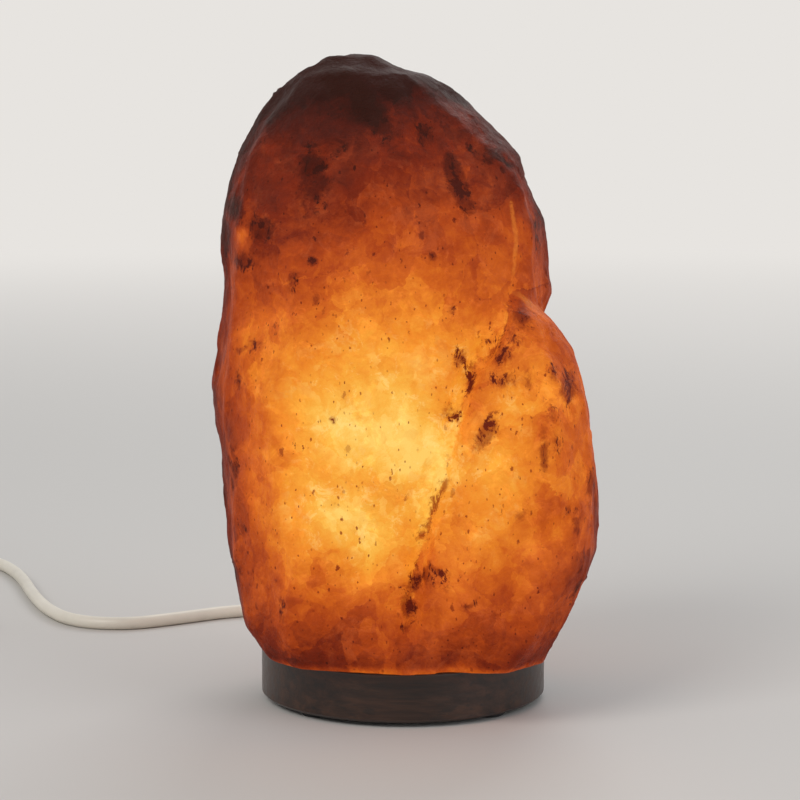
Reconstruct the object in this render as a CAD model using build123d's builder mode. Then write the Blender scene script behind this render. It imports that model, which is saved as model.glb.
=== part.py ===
from build123d import *
from math import atan, cos, pi, radians, sin, sqrt, tan
import os

# Salt crystal lamp: a hewn lump of rock salt on a turned wooden disc, lit from inside by a small
# bulb. The bulb's holder is pushed up into the disc's hole and held there by a sprung clip.
# X is to the right, Y away from the viewer and Z up. The origin is on the table, under the middle
# of the wooden disc. All sizes are in millimetres.

# ---- wooden base and feet
base_diameter = 110.0
base_thickness = 20.0
base_hole_diameter = 50.0
base_top_round = 2.5
base_bottom_chamfer = 1.0
foot_diameter = 14.0
foot_thickness = 3.5
foot_recess_depth = 1.5
foot_circle_radius = 45.0
foot_recess_gap = 0.2
foot_edge = 0.8
groove_width = 7.0
groove_depth = 10.0

# ---- screws and nylon plugs that hold the crystal on the base
screw_circle_radius = 38.0
screw_angles = [0, 180, 270]
screw_diameter = 4.0
screw_head_diameter = 8.0
screw_length = 40.0
screw_clearance = 0.25
screw_sink = 1.5
screw_tip_length = 1.8
screw_tip_taper = 42.0
plug_diameter = 8.0
plug_length = 30.0
plug_clearance = 0.1
plug_hole_spare = 1.0

# ---- salt crystal
cavity_diameter = 52.0
cavity_headroom = 5.0
cavity_cone_height = 9.0
cavity_end_diameter = 20.8
salt_roundness = 2.35
shoulder_roundness = 2.6
outline_points = 12
# Hewn edges wander: how many degrees a corner of a level strays, and how deep it may be knocked in.
corner_stray = 9.0
corner_dent = 2.2
# Each level: height above the base's top, then how far the outline reaches left, right, to the
# front and to the back of the base's middle.
main_levels = [
    (0.0, 56.0, 40.0, 67.5, 62.0),
    (12.0, 64.0, 36.0, 70.0, 70.0),
    (40.0, 69.5, 32.0, 69.5, 73.5),
    (70.0, 70.5, 34.0, 67.0, 73.0),
    (102.0, 74.0, 44.0, 62.5, 67.0),
    (136.0, 69.5, 58.5, 57.0, 62.0),
    (164.0, 71.5, 54.5, 50.0, 56.0),
    (188.0, 65.0, 45.0, 42.0, 48.0),
    (209.0, 54.0, 26.0, 31.0, 38.0),
    (221.0, 43.0, 12.0, 21.0, 27.0),
    (226.5, 29.0, -10.0, 8.0, 12.0),
]
shoulder_levels = [
    (0.0, 11.0, 56.0, 64.5, 22.0),
    (12.0, 12.0, 65.0, 70.0, 32.0),
    (40.0, 11.0, 75.0, 71.0, 38.0),
    (70.0, 1.0, 75.0, 69.0, 38.0),
    (95.0, -9.0, 71.5, 65.5, 32.0),
    (116.0, -20.0, 65.0, 60.5, 22.0),
    (128.0, -28.0, 56.0, 54.5, 12.0),
    (140.0, -36.0, 42.0, 47.0, -12.0),
]
# Flats hewn off the crystal: direction round the lamp, direction up, and how deep the cut bites.
main_flats = [
    (188, 8, 2.2),
    (172, -22, 2.5),
    (215, 2, 3.0),
    (205, 38, 3.0),
    (240, 22, 3.5),
    (262, -6, 2.5),
    (268, 32, 4.0),
    (298, 30, 4.0),
    (335, 44, 3.5),
    (15, 25, 2.0),
    (50, 10, 5.0),
    (85, 34, 5.0),
    (100, -4, 3.5),
    (135, 14, 4.5),
    (150, 42, 5.0),
    (20, 62, 3.0),
]
shoulder_flats = [
    (8, 10, 1.8),
    (352, -26, 2.2),
    (330, 24, 3.0),
    (300, -4, 2.5),
    (318, 58, 4.0),
    (40, 40, 4.0),
]

# ---- bulb holder on its sprung clip
holder_diameter = 27.0
holder_wall = 1.8
holder_cap_height = 16.2
holder_barrel_height = 23.0
holder_bore = 14.8
holder_floor = 2.5
holder_cap_edge = 1.5
holder_mouth_edge = 0.8
barrel_step = 2.2
barrel_step_height = 9.0
clip_height = 30.0
clip_sheet = 0.8
clip_plate_diameter = 25.0
clip_reach = 24.5
clip_arm_width = 6.0
clip_arm_drop = 16.0
clip_curl = 5.0
clip_curl_in = 3.5
clip_curl_lean = 0.3
clip_arm_root = 2.0
clip_shoulder = 5.0
clip_arms = 3
nipple_diameter = 10.0
nipple_bore = 6.4
nipple_length = 11.0
nipple_below_clip = 5.0
nipple_edge = 0.5
nut_across_flats = 14.0
nut_thickness = 3.2
grip_diameter = 13.0
grip_length = 5.0
grip_edge = 0.6
grub_diameter = 2.6
grub_slot_width = 0.5
grub_slot_depth = 0.8
carrier_thickness = 6.0
carrier_seat_height = 4.0
carrier_web = 1.0
terminal_spacing = 14.0
terminal_shank = 3.0
terminal_head = 5.6
terminal_head_height = 1.8
terminal_end_gap = 0.2
strip_sheet = 0.6
strip_width = 3.0
side_strip_height = 15.0
side_strip_spare = 1.0
contact_rise = 2.0
contact_foot_left = 5.5
contact_foot_right = 4.0
contact_heel = 3.0
contact_peak = 1.5
contact_sheet = 0.5
contact_gap = 0.35
wire_diameter = 1.5
wire_half_gap = 0.15
wire_bend_radius = 1.2
wire_lead_in = 2.2
wire_lead_out = 1.6
sheath_past_nipple = 0.5
loose_fit = 0.1

# ---- bulb
bulb_cap_diameter = 13.9
bulb_cap_wall = 0.4
bulb_cap_height = 18.0
bulb_cap_edge = 1.0
bulb_cap_floor = 1.0
bulb_glass_diameter = 28.0
bulb_glass_wall = 0.8
bulb_neck_diameter = 12.8
bulb_neck_in_cap = 5.0
bulb_neck_over_cap = 2.0
bulb_length = 60.0
bulb_insulator_height = 3.0
insulator_lip = 1.4
insulator_inset = 1.2
bulb_tip_diameter = 4.8
bulb_tip_thickness = 1.2
bulb_tip_edge = 0.8
stem_height = 22.0
stem_core_radius = 1.8
stem_waist_share = 0.55
stem_waist_height = 5.0
stem_core_start = 9.0
stem_top_edge = 0.9
lead_gap = 0.05
lead_bend_below_top = 4.0
lead_bend_radius = 3.0
filament_span = 16.0
filament_wire = 0.9
filament_arch = 4.0

# ---- mains cord, its switch and its plug
cord_diameter = 5.5
cord_sides = 12
floor_gap = 0.05
coil_radius = 37.0
coil_pitch = 6.1
coil_turns = 6.0
coil_climb_turns = 0.5
coil_samples = 1200
switch_length = 62.0
switch_width = 26.0
switch_end_width = 13.0
switch_height = 15.0
switch_entry_height = 6.5
switch_round = 2.2
switch_bottom_round = 1.5
switch_corner = 3.0
switch_taper = 13.0
switch_pocket_length = 30.0
switch_pocket_width = 10.6
switch_floor = 1.8
switch_roof = 2.0
switch_bore_depth = 6.0
switch_bore_overlap = 1.0
rocker_radius = 11.2
rocker_width = 10.0
rocker_gap = 0.3
rocker_pivot_height = 10.0
rocker_top = 5.2
rocker_slope = 12.0
rocker_heel = 2.5
rocker_pin_diameter = 2.0
rocker_pin_length = 14.0
rocker_pin_fit = 0.05
switch_screw_diameter = 2.5
switch_screw_head = 4.6
switch_screw_length = 11.0
switch_screw_spare = 2.0
switch_screw_recess = 2.4
switch_screw_head_height = 1.8
switch_screw_from_waist = 2.0
switch_screw_from_side = 4.0
switch_strip_place = 7.5
switch_strip_length = 9.0
switch_strip_width = 4.0
switch_stud_place = 4.5
switch_stud_radius = 1.5
switch_stud_height = 1.6
plug_width = 35.3
plug_thickness = 13.7
plug_body_length = 36.0
plug_side_flat = 0.4
# From the cord's end forward: distance, width and thickness of the body's first three sections.
plug_sections = [(0.0, 11.0, 10.0), (9.0, 17.0, 12.0), (20.0, 33.0, 13.2)]
pin_diameter = 4.0
pin_length = 19.0
pin_spacing = 18.6
pin_sleeve_length = 10.0
pin_sleeve_diameter = 3.6
pin_core_diameter = 3.0
pin_tip_edge = 0.8
pin_root = 6.0
plug_cord_depth = 5.0

# ---- places that follow from those sizes
base_bottom = foot_thickness - foot_recess_depth
base_top = base_bottom + base_thickness
clip_top = clip_height + clip_sheet
holder_joint = clip_top + holder_cap_height
holder_top = holder_joint + holder_barrel_height
carrier_top = holder_joint + carrier_seat_height
carrier_bottom = carrier_top - carrier_thickness
nipple_bottom = clip_height - nipple_below_clip
grip_bottom = nipple_bottom - grip_length
sheath_top = nipple_bottom + nipple_length + sheath_past_nipple
bulb_tip_height = carrier_top + contact_rise
cavity_top = bulb_tip_height + bulb_length + cavity_headroom
cavity_tip = cavity_top + cavity_cone_height
cord_radius = cord_diameter / 2
cord_section = cord_sides / 2 * cord_radius**2 * sin(2 * pi / cord_sides)
cord_height = cord_radius + floor_gap
coil_top_height = cord_height + coil_pitch

# ---- the cord's route: points on its centreline, chosen by hand
switch_place = (-260.0, 184.0)
cord_run_points = [
    (0.0, 0.0, grip_bottom),
    (0.0, 0.0, 14.5),
    (0.0, 3.5, 8.0),
    (0.0, 11.0, 3.8),
    (0.0, 24.0, cord_height),
    (0.0, 43.0, cord_height),
    (-1.2, 75.0, cord_height),
    (-8.0, 107.0, cord_height),
    (-24.0, 136.0, cord_height),
    (-49.0, 150.0, cord_height),
    (-76.0, 145.0, cord_height),
    (-99.0, 129.0, cord_height),
    (-121.0, 116.0, cord_height),
    (-145.0, 123.0, cord_height),
    (-159.5, 149.0, cord_height),
    (-170.5, 183.0, cord_height),
    (-182.0, 227.0, cord_height),
    (-198.0, 262.0, cord_height),
    (-221.5, 275.5, cord_height),
    (-247.0, 268.0, cord_height),
    (-259.0, 245.5, cord_height),
    (-260.4, 233.0, 4.4),
    (-260.0, 221.0, switch_entry_height),
    (-260.0, 209.0, switch_entry_height),
]
cord_lead_points = [
    (-260.0, 159.0, switch_entry_height),
    (-260.0, 147.0, switch_entry_height),
    (-260.4, 135.0, 4.3),
    (-260.0, 122.0, cord_height),
    (-260.0, 110.0, cord_height),
]
coil_end = (-260.0, 110.0)
coil_centre = (coil_end[0] + coil_radius, coil_end[1] - cord_diameter)
tail_start = (coil_end[0], coil_centre[1] - cord_diameter)
plug_place = (-262.5, 52.0)
plug_height = plug_thickness / 2
cord_tail_points = [
    (tail_start[0], tail_start[1], coil_top_height),
    (tail_start[0], tail_start[1] - 10.0, coil_top_height),
    (-261.4, 75.0, 7.7),
    (plug_place[0], 61.0, plug_height),
    (plug_place[0], plug_place[1] - 4.0, plug_height),
]


os.makedirs("parts", exist_ok=True)


def save(name, piece):
    """Label a finished piece and write its file."""
    piece.label = name
    export_step(piece, f"parts/{name}.step")


def outline(level, roundness):
    """Corners of one level of the crystal, on an oval that reaches as far as the level says."""
    height, left, right, front, back = level
    middle = ((right - left) / 2, (back - front) / 2)
    power = 2 / roundness
    points = []
    for step in range(outline_points):
        turn = 2 * pi * step / outline_points
        looseness = abs(sin(turn))
        dent = corner_dent * looseness * (0.5 + 0.5 * sin(5 * step + height / 9))
        half = ((right + left) / 2 - dent, (back + front) / 2 - dent)
        turn += radians(corner_stray) * looseness * sin(3 * step + height / 14)
        c, s = cos(turn), sin(turn)
        x = middle[0] + half[0] * (abs(c) ** power) * (1 if c > 0 else -1)
        y = middle[1] + half[1] * (abs(s) ** power) * (1 if s > 0 else -1)
        points.append((x, y, base_top + height))
    return points


def flat_plane(levels, roundness, flat):
    """The plane of a hewn flat, which bites into the lump by the depth that the flat gives."""
    azimuth, rise, bite = radians(flat[0]), radians(flat[1]), flat[2]
    out = Vector(cos(azimuth) * cos(rise), sin(azimuth) * cos(rise), sin(rise))
    points = [Vector(*p) for level in levels for p in outline(level, roundness)]
    furthest = max(points, key=lambda p: p.dot(out))
    return Plane(origin=furthest - out * bite, z_dir=out)


def lump(levels, roundness, flats):
    """A lofted lump of salt with its flats hewn off."""
    with BuildPart() as body:
        for level in levels:
            with BuildSketch(Plane.XY.offset(base_top + level[0])):
                with BuildLine():
                    Polyline(*[(p[0], p[1]) for p in outline(level, roundness)], close=True)
                make_face()
        loft(ruled=True)
        for flat in flats:
            split(bisect_by=flat_plane(levels, roundness, flat), keep=Keep.BOTTOM)
    return body.part


def corner_radii(points):
    """The arc of each corner of a cord's route, as large as its two runs allow."""
    radii = []
    for before, corner, after in zip(points, points[1:], points[2:]):
        run_in = Vector(*corner) - Vector(*before)
        run_out = Vector(*after) - Vector(*corner)
        turn = radians(run_in.get_angle(run_out))
        radii.append(0.45 * min(run_in.length, run_out.length) / tan(turn / 2))
    return radii


def cord_tube(name, points):
    """A cord along straight runs joined by tangent arcs."""
    radii = corner_radii(points)
    with BuildPart() as tube:
        with BuildLine() as path:
            FilletPolyline(*points, radius=radii)
        start = Vector(*points[0])
        with BuildSketch(Plane(origin=start, z_dir=Vector(*points[1]) - start)):
            RegularPolygon(cord_radius, cord_sides)
        sweep()
    length = path.wire().length
    share = tube.part.volume / (cord_section * length)
    print(name, "length", round(length, 1), "least radii", [round(r, 1) for r in sorted(radii)[:4]])
    print(name, "volume against section times length", round(share, 4))
    save(name, tube.part)
    return length


# ---- wooden base
with BuildPart() as wood_base:
    with BuildSketch(Plane.XY.offset(base_bottom)):
        Circle(base_diameter / 2)
    extrude(amount=base_thickness)
    fillet(wood_base.edges().group_by(Axis.Z)[-1], base_top_round)
    chamfer(wood_base.edges().group_by(Axis.Z)[0], base_bottom_chamfer)
    with BuildSketch(Plane.XY.offset(base_bottom)):
        Circle(base_hole_diameter / 2)
    extrude(amount=base_thickness, mode=Mode.SUBTRACT)
    with BuildSketch(Plane.XY.offset(base_bottom)):
        with Locations((0, base_diameter / 4)):
            Rectangle(groove_width, base_diameter / 2 + 2 * groove_width)
    extrude(amount=groove_depth, mode=Mode.SUBTRACT)
    with BuildSketch(Plane.XY.offset(base_bottom)):
        with PolarLocations(foot_circle_radius, 4, start_angle=45):
            Circle(foot_diameter / 2 + foot_recess_gap)
    extrude(amount=foot_recess_depth, mode=Mode.SUBTRACT)
    underside = Plane(origin=(0, 0, base_bottom), x_dir=(1, 0, 0), z_dir=(0, 0, -1))
    for angle in screw_angles:
        x = screw_circle_radius * cos(radians(angle))
        y = screw_circle_radius * sin(radians(angle))
        with Locations(underside):
            with Locations((x, -y, -screw_sink)):
                CounterSinkHole(
                    screw_diameter / 2 + screw_clearance,
                    screw_head_diameter / 2 + screw_clearance,
                    depth=base_thickness,
                )
save("wood_base", wood_base.part)

with BuildPart() as rubber_feet:
    with BuildSketch():
        with PolarLocations(foot_circle_radius, 4, start_angle=45):
            Circle(foot_diameter / 2)
    extrude(amount=foot_thickness)
    chamfer(rubber_feet.edges().group_by(Axis.Z)[0], foot_edge)
save("rubber_feet", rubber_feet.part)

# ---- countersunk screws and the nylon plugs that they bite into
head_height = (screw_head_diameter - screw_diameter) / 2
screw_bottom = base_bottom + screw_sink
with BuildPart() as base_screws:
    for angle in screw_angles:
        x = screw_circle_radius * cos(radians(angle))
        y = screw_circle_radius * sin(radians(angle))
        with BuildSketch(Plane.XY.offset(screw_bottom)):
            with Locations((x, y)):
                Circle(screw_head_diameter / 2)
        extrude(amount=head_height, taper=45)
        with BuildSketch(Plane.XY.offset(screw_bottom + head_height)):
            with Locations((x, y)):
                Circle(screw_diameter / 2)
        extrude(amount=screw_length - 2 * head_height)
        with BuildSketch(Plane.XY.offset(screw_bottom + screw_length - head_height)):
            with Locations((x, y)):
                Circle(screw_diameter / 2)
        extrude(amount=screw_tip_length, taper=screw_tip_taper)
save("base_screws", base_screws.part)

with BuildPart() as rock_plugs:
    for angle in screw_angles:
        x = screw_circle_radius * cos(radians(angle))
        y = screw_circle_radius * sin(radians(angle))
        with BuildSketch(Plane.XY.offset(base_top)):
            with Locations((x, y)):
                Circle(plug_diameter / 2)
                Circle(screw_diameter / 2 + plug_clearance, mode=Mode.SUBTRACT)
        extrude(amount=plug_length)
save("rock_plugs", rock_plugs.part)

# ---- salt crystal: two lumps grown together, drilled from below for the bulb and the plugs
main_lump = lump(main_levels, salt_roundness, main_flats)
shoulder_lump = lump(shoulder_levels, shoulder_roundness, shoulder_flats)
with BuildPart() as salt_rock:
    add(main_lump)
    add(shoulder_lump)
    with BuildSketch(Plane.XZ):
        with BuildLine():
            Polyline(
                (0, base_top),
                (cavity_diameter / 2, base_top),
                (cavity_diameter / 2, cavity_top),
                (cavity_end_diameter / 2, cavity_tip),
                (0, cavity_tip),
                close=True,
            )
        make_face()
    revolve(axis=Axis.Z, mode=Mode.SUBTRACT)
    for angle in screw_angles:
        x = screw_circle_radius * cos(radians(angle))
        y = screw_circle_radius * sin(radians(angle))
        with BuildSketch(Plane.XY.offset(base_top)):
            with Locations((x, y)):
                Circle(plug_diameter / 2 + plug_clearance)
        extrude(amount=plug_length + plug_hole_spare, mode=Mode.SUBTRACT)
save("salt_rock", salt_rock.part)

# ---- sprung clip: a plate with bent arms that grip the hole of the base
arm_root = clip_plate_diameter / 2 - clip_arm_root
arm_knee = clip_top - clip_arm_drop
arm_outer = [
    (arm_root, clip_top),
    (clip_reach - clip_shoulder, clip_top),
    (clip_reach, arm_knee),
    (clip_reach - clip_curl_in, arm_knee - clip_curl),
]
arm_inner = [
    (clip_reach - clip_curl_in - clip_sheet, arm_knee - clip_curl + clip_curl_lean),
    (clip_reach - clip_sheet, arm_knee),
    (clip_reach - clip_shoulder - clip_sheet, clip_height),
    (arm_root, clip_height),
]
with BuildPart() as spring_clip:
    with BuildSketch(Plane.XY.offset(clip_height)):
        Circle(clip_plate_diameter / 2)
        Circle(nipple_diameter / 2 + loose_fit, mode=Mode.SUBTRACT)
    extrude(amount=clip_sheet)
    for turn in range(clip_arms):
        angle = 180 + 360 / clip_arms * (turn + 0.5)
        with BuildSketch(Plane.XZ.rotated((0, 0, angle))):
            with BuildLine():
                Polyline(*arm_outer, *arm_inner, close=True)
            make_face()
        extrude(amount=clip_arm_width / 2, both=True)
save("spring_clip", spring_clip.part)

with BuildPart() as nipple:
    with BuildSketch(Plane.XY.offset(nipple_bottom)):
        Circle(nipple_diameter / 2)
        Circle(nipple_bore / 2, mode=Mode.SUBTRACT)
    extrude(amount=nipple_length)
    chamfer(nipple.edges().group_by(Axis.Z)[-1], nipple_edge)
save("nipple", nipple.part)

with BuildPart() as hex_nut:
    with BuildSketch(Plane.XY.offset(clip_height - nut_thickness)):
        RegularPolygon(nut_across_flats / 2, 6, major_radius=False)
        Circle(nipple_diameter / 2 + loose_fit / 2, mode=Mode.SUBTRACT)
    extrude(amount=nut_thickness)
save("hex_nut", hex_nut.part)

grub_height = grip_bottom + grip_length / 2
with BuildPart() as cord_grip:
    with BuildSketch(Plane.XY.offset(grip_bottom)):
        Circle(grip_diameter / 2)
        Circle(cord_radius + loose_fit, mode=Mode.SUBTRACT)
    extrude(amount=grip_length)
    chamfer(cord_grip.edges().group_by(Axis.Z)[0].sort_by(SortBy.LENGTH)[-1], grip_edge)
    with BuildSketch(Plane.YZ.offset(cord_radius)):
        with Locations((0, grub_height)):
            Circle(grub_diameter / 2 + loose_fit / 2)
    extrude(amount=grip_diameter, mode=Mode.SUBTRACT)
save("cord_grip", cord_grip.part)

with BuildPart() as grip_screw:
    with BuildSketch(Plane.YZ.offset(cord_radius + loose_fit)):
        with Locations((0, grub_height)):
            Circle(grub_diameter / 2)
    extrude(amount=grip_diameter / 2 - cord_radius)
    with BuildSketch(Plane.YZ.offset(grip_diameter / 2 + loose_fit)):
        with Locations((0, grub_height)):
            Rectangle(grub_slot_width, grub_diameter)
    extrude(amount=-grub_slot_depth, mode=Mode.SUBTRACT)
save("grip_screw", grip_screw.part)

# ---- bulb holder: cap, barrel, contact carrier, contacts, terminal screws and wires
with BuildPart() as holder_cap:
    with BuildSketch(Plane.XY.offset(clip_top)):
        Circle(holder_diameter / 2)
    extrude(amount=holder_cap_height)
    chamfer(holder_cap.edges().group_by(Axis.Z)[0], holder_cap_edge)
    with BuildSketch(Plane.XY.offset(clip_top + holder_floor)):
        Circle(holder_diameter / 2 - holder_wall)
    extrude(amount=holder_cap_height, mode=Mode.SUBTRACT)
    with BuildSketch(Plane.XY.offset(clip_top)):
        Circle(nipple_diameter / 2 + loose_fit)
    extrude(amount=holder_floor, mode=Mode.SUBTRACT)
save("holder_cap", holder_cap.part)

carrier_radius = holder_diameter / 2 - holder_wall - loose_fit
barrel_top_radius = holder_diameter / 2 - barrel_step
step_height = holder_joint + barrel_step_height
with BuildPart() as holder_body:
    with BuildSketch(Plane.XZ):
        with BuildLine():
            Polyline(
                (0, holder_joint),
                (holder_diameter / 2, holder_joint),
                (holder_diameter / 2, step_height),
                (barrel_top_radius, step_height + barrel_step),
                (barrel_top_radius, holder_top),
                (0, holder_top),
                close=True,
            )
        make_face()
    revolve(axis=Axis.Z)
    with BuildSketch(Plane.XY.offset(holder_joint)):
        Circle(holder_diameter / 2 - holder_wall)
    extrude(amount=carrier_top - holder_joint, mode=Mode.SUBTRACT)
    with BuildSketch(Plane.XY.offset(carrier_top)):
        Circle(holder_bore / 2)
    extrude(amount=holder_top - carrier_top, mode=Mode.SUBTRACT)
    with BuildSketch(Plane.XY.offset(carrier_top)):
        with Locations((holder_bore / 2, 0)):
            Rectangle(2 * strip_sheet + 4 * loose_fit, strip_width + 4 * loose_fit)
    extrude(amount=side_strip_height + side_strip_spare, mode=Mode.SUBTRACT)
    chamfer(holder_body.edges().group_by(Axis.Z)[-1], holder_mouth_edge)
save("holder_body", holder_body.part)

with BuildPart() as contact_carrier:
    with BuildSketch(Plane.XY.offset(carrier_bottom)):
        Circle(carrier_radius)
        with GridLocations(terminal_spacing, 0, 2, 1):
            Circle(terminal_shank / 2 + loose_fit / 2, mode=Mode.SUBTRACT)
    extrude(amount=carrier_thickness - carrier_web)
    with BuildSketch(Plane.XY.offset(carrier_top - carrier_web)):
        Circle(carrier_radius)
    extrude(amount=carrier_web)
save("contact_carrier", contact_carrier.part)

with BuildPart() as centre_contact:
    with BuildSketch(Plane.XZ):
        with BuildLine():
            Polyline(
                (-contact_foot_left, carrier_top),
                (contact_foot_right, carrier_top),
                (contact_foot_right, carrier_top + contact_sheet),
                (contact_peak, bulb_tip_height - contact_gap),
                (-contact_peak, bulb_tip_height - contact_gap),
                (-contact_heel, carrier_top + contact_sheet),
                (-contact_foot_left, carrier_top + contact_sheet),
                close=True,
            )
        make_face()
    extrude(amount=strip_width / 2, both=True)
save("centre_contact", centre_contact.part)

with BuildPart() as side_contact:
    with BuildSketch(Plane.XY.offset(carrier_top)):
        with Locations((holder_bore / 2 + strip_sheet / 2, 0)):
            Rectangle(strip_sheet, strip_width)
    extrude(amount=side_strip_height)
save("side_contact", side_contact.part)

with BuildPart() as terminal_screws:
    with BuildSketch(Plane.XY.offset(carrier_bottom)):
        with GridLocations(terminal_spacing, 0, 2, 1):
            Circle(terminal_shank / 2)
    extrude(amount=carrier_thickness - carrier_web - terminal_end_gap)
    with BuildSketch(Plane.XY.offset(carrier_bottom)):
        with GridLocations(terminal_spacing, 0, 2, 1):
            Circle(terminal_head / 2)
    extrude(amount=-terminal_head_height)
save("terminal_screws", terminal_screws.part)

wire_end = carrier_bottom - terminal_head_height
with BuildPart() as core_wires:
    for side in (-1, 1):
        foot = side * (wire_diameter / 2 + wire_half_gap)
        with BuildLine():
            FilletPolyline(
                (foot, 0, sheath_top),
                (foot, 0, sheath_top + wire_lead_in),
                (side * terminal_spacing / 2, 0, wire_end - wire_lead_out),
                (side * terminal_spacing / 2, 0, wire_end),
                radius=wire_bend_radius,
            )
        with BuildSketch(Plane.XY.offset(sheath_top)):
            with Locations((foot, 0)):
                Circle(wire_diameter / 2)
        sweep()
save("core_wires", core_wires.part)

with BuildPart() as cord_inner:
    with BuildSketch(Plane.XY.offset(grip_bottom)):
        Circle(cord_radius)
    extrude(amount=sheath_top - grip_bottom)
save("cord_inner", cord_inner.part)

# ---- bulb
tip_top = bulb_tip_height + bulb_tip_thickness
insulator_top = tip_top + bulb_insulator_height
cap_top = insulator_top + bulb_cap_height
cap_radius = bulb_cap_diameter / 2
neck_radius = bulb_neck_diameter / 2
glass_radius = bulb_glass_diameter / 2
neck_bottom = cap_top - bulb_neck_in_cap
glass_top = bulb_tip_height + bulb_length
glass_middle = glass_top - glass_radius
flare_height = cap_top + bulb_neck_over_cap

with BuildPart() as bulb_contact:
    with BuildSketch(Plane.XY.offset(tip_top)):
        Circle(bulb_tip_diameter / 2)
    extrude(amount=-bulb_tip_thickness)
    chamfer(bulb_contact.edges().group_by(Axis.Z)[0], bulb_tip_edge)
save("bulb_contact", bulb_contact.part)

with BuildPart() as bulb_insulator:
    with BuildSketch(Plane.XY.offset(tip_top)):
        Circle(bulb_tip_diameter / 2 + insulator_lip)
    with BuildSketch(Plane.XY.offset(insulator_top)):
        Circle(cap_radius - insulator_inset)
    loft()
save("bulb_insulator", bulb_insulator.part)

with BuildPart() as bulb_cap:
    with BuildSketch(Plane.XY.offset(insulator_top)):
        Circle(cap_radius)
    extrude(amount=bulb_cap_height)
    chamfer(bulb_cap.edges().group_by(Axis.Z)[0], bulb_cap_edge)
    with BuildSketch(Plane.XY.offset(insulator_top + bulb_cap_floor)):
        Circle(cap_radius - bulb_cap_wall)
    extrude(amount=bulb_cap_height, mode=Mode.SUBTRACT)
save("bulb_cap", bulb_cap.part)


def glass_outline(offset_in):
    """Where the glass leaves the neck, swells in an arc and runs into the ball, on one side."""
    neck = neck_radius - offset_in
    ball = glass_radius - offset_in
    rise = glass_middle - flare_height
    flare = (rise**2 + neck**2 - ball**2) / (2 * (ball - neck))
    share = ball / (ball + flare)
    meet = ((neck + flare) * share, glass_middle - rise * share)
    return (neck, neck_bottom), (neck, flare_height), meet, (0, glass_middle + ball), flare, ball


with BuildPart() as bulb_glass:
    with BuildSketch(Plane.XZ):
        for offset_in, mode in ((0, Mode.ADD), (bulb_glass_wall, Mode.SUBTRACT)):
            foot, bend, meet, top, flare, ball = glass_outline(offset_in)
            with BuildLine():
                Line((0, neck_bottom), foot)
                Line(foot, bend)
                RadiusArc(bend, meet, flare)
                RadiusArc(meet, top, -ball)
                Line(top, (0, neck_bottom))
            make_face(mode=mode)
    revolve(axis=Axis.Z)
save("bulb_glass", bulb_glass.part)

stem_top = neck_bottom + stem_height
stem_radius = neck_radius - bulb_glass_wall - loose_fit
with BuildPart() as bulb_stem:
    with BuildSketch(Plane.XZ):
        with BuildLine():
            Polyline(
                (0, neck_bottom),
                (stem_radius, neck_bottom),
                (stem_radius * stem_waist_share, neck_bottom + stem_waist_height),
                (stem_core_radius, neck_bottom + stem_core_start),
                (stem_core_radius, stem_top),
                (0, stem_top),
                close=True,
            )
        make_face()
    revolve(axis=Axis.Z)
    chamfer(bulb_stem.edges().group_by(Axis.Z)[-1], stem_top_edge)
save("bulb_stem", bulb_stem.part)

filament_height = glass_middle
lead_foot = stem_core_radius + filament_wire / 2 + lead_gap
lead_bottom = neck_bottom + stem_core_start
with BuildPart() as bulb_leads:
    for side in (-1, 1):
        with BuildLine():
            FilletPolyline(
                (side * lead_foot, 0, lead_bottom),
                (side * lead_foot, 0, stem_top - lead_bend_below_top),
                (side * filament_span / 2, 0, filament_height),
                radius=lead_bend_radius,
            )
        with BuildSketch(Plane.XY.offset(lead_bottom)):
            with Locations((side * lead_foot, 0)):
                Circle(filament_wire / 2)
        sweep()
save("bulb_leads", bulb_leads.part)

with BuildPart() as bulb_filament:
    filament_start = (-filament_span / 2, 0, filament_height + filament_wire)
    with BuildLine():
        ThreePointArc(
            filament_start,
            (0, 0, filament_height + filament_arch),
            (filament_span / 2, 0, filament_height + filament_wire),
        )
    filament_rise = 2 * atan((filament_arch - filament_wire) / (filament_span / 2))
    filament_way = (cos(filament_rise), 0, sin(filament_rise))
    with BuildSketch(Plane(origin=filament_start, z_dir=filament_way)):
        Circle(filament_wire / 2)
    sweep()
save("bulb_filament", bulb_filament.part)

# ---- cord: the free stretches
run_length = cord_tube("cord_run", cord_run_points)
lead_length = cord_tube("cord_lead", cord_lead_points)
tail_length = cord_tube("cord_tail", cord_tail_points)

# ---- cord: the coil of spare length, two layers that spiral in, climb and spiral out again
middle_turn = coil_turns / 2


def coil_point(turn):
    """A point of the coil's centreline after so many turns."""
    radius = coil_radius - coil_pitch * (middle_turn - abs(turn - middle_turn))
    climbed = (turn - middle_turn) / coil_climb_turns + 0.5
    climbed = min(max(climbed, 0.0), 1.0)
    height = cord_height + coil_pitch * climbed**2 * (3 - 2 * climbed)
    angle = pi + 2 * pi * turn
    x = coil_centre[0] + radius * cos(angle)
    y = coil_centre[1] + radius * sin(angle)
    return Vector(x, y, height)


def coil_direction(turn):
    """The way the centreline runs there."""
    step = 0.002
    return (coil_point(turn + step) - coil_point(turn - step)).normalized()


def biarc_joint(start, start_way, end, end_way):
    """Where the two arcs that join two points and their directions meet."""
    chord = end - start
    ways = start_way + end_way
    across = chord.dot(ways)
    spread = 2 * (1 - start_way.dot(end_way))
    reach = (-across + sqrt(across**2 + spread * chord.dot(chord))) / spread
    return (start + start_way * reach + end - end_way * reach) * 0.5


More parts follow.
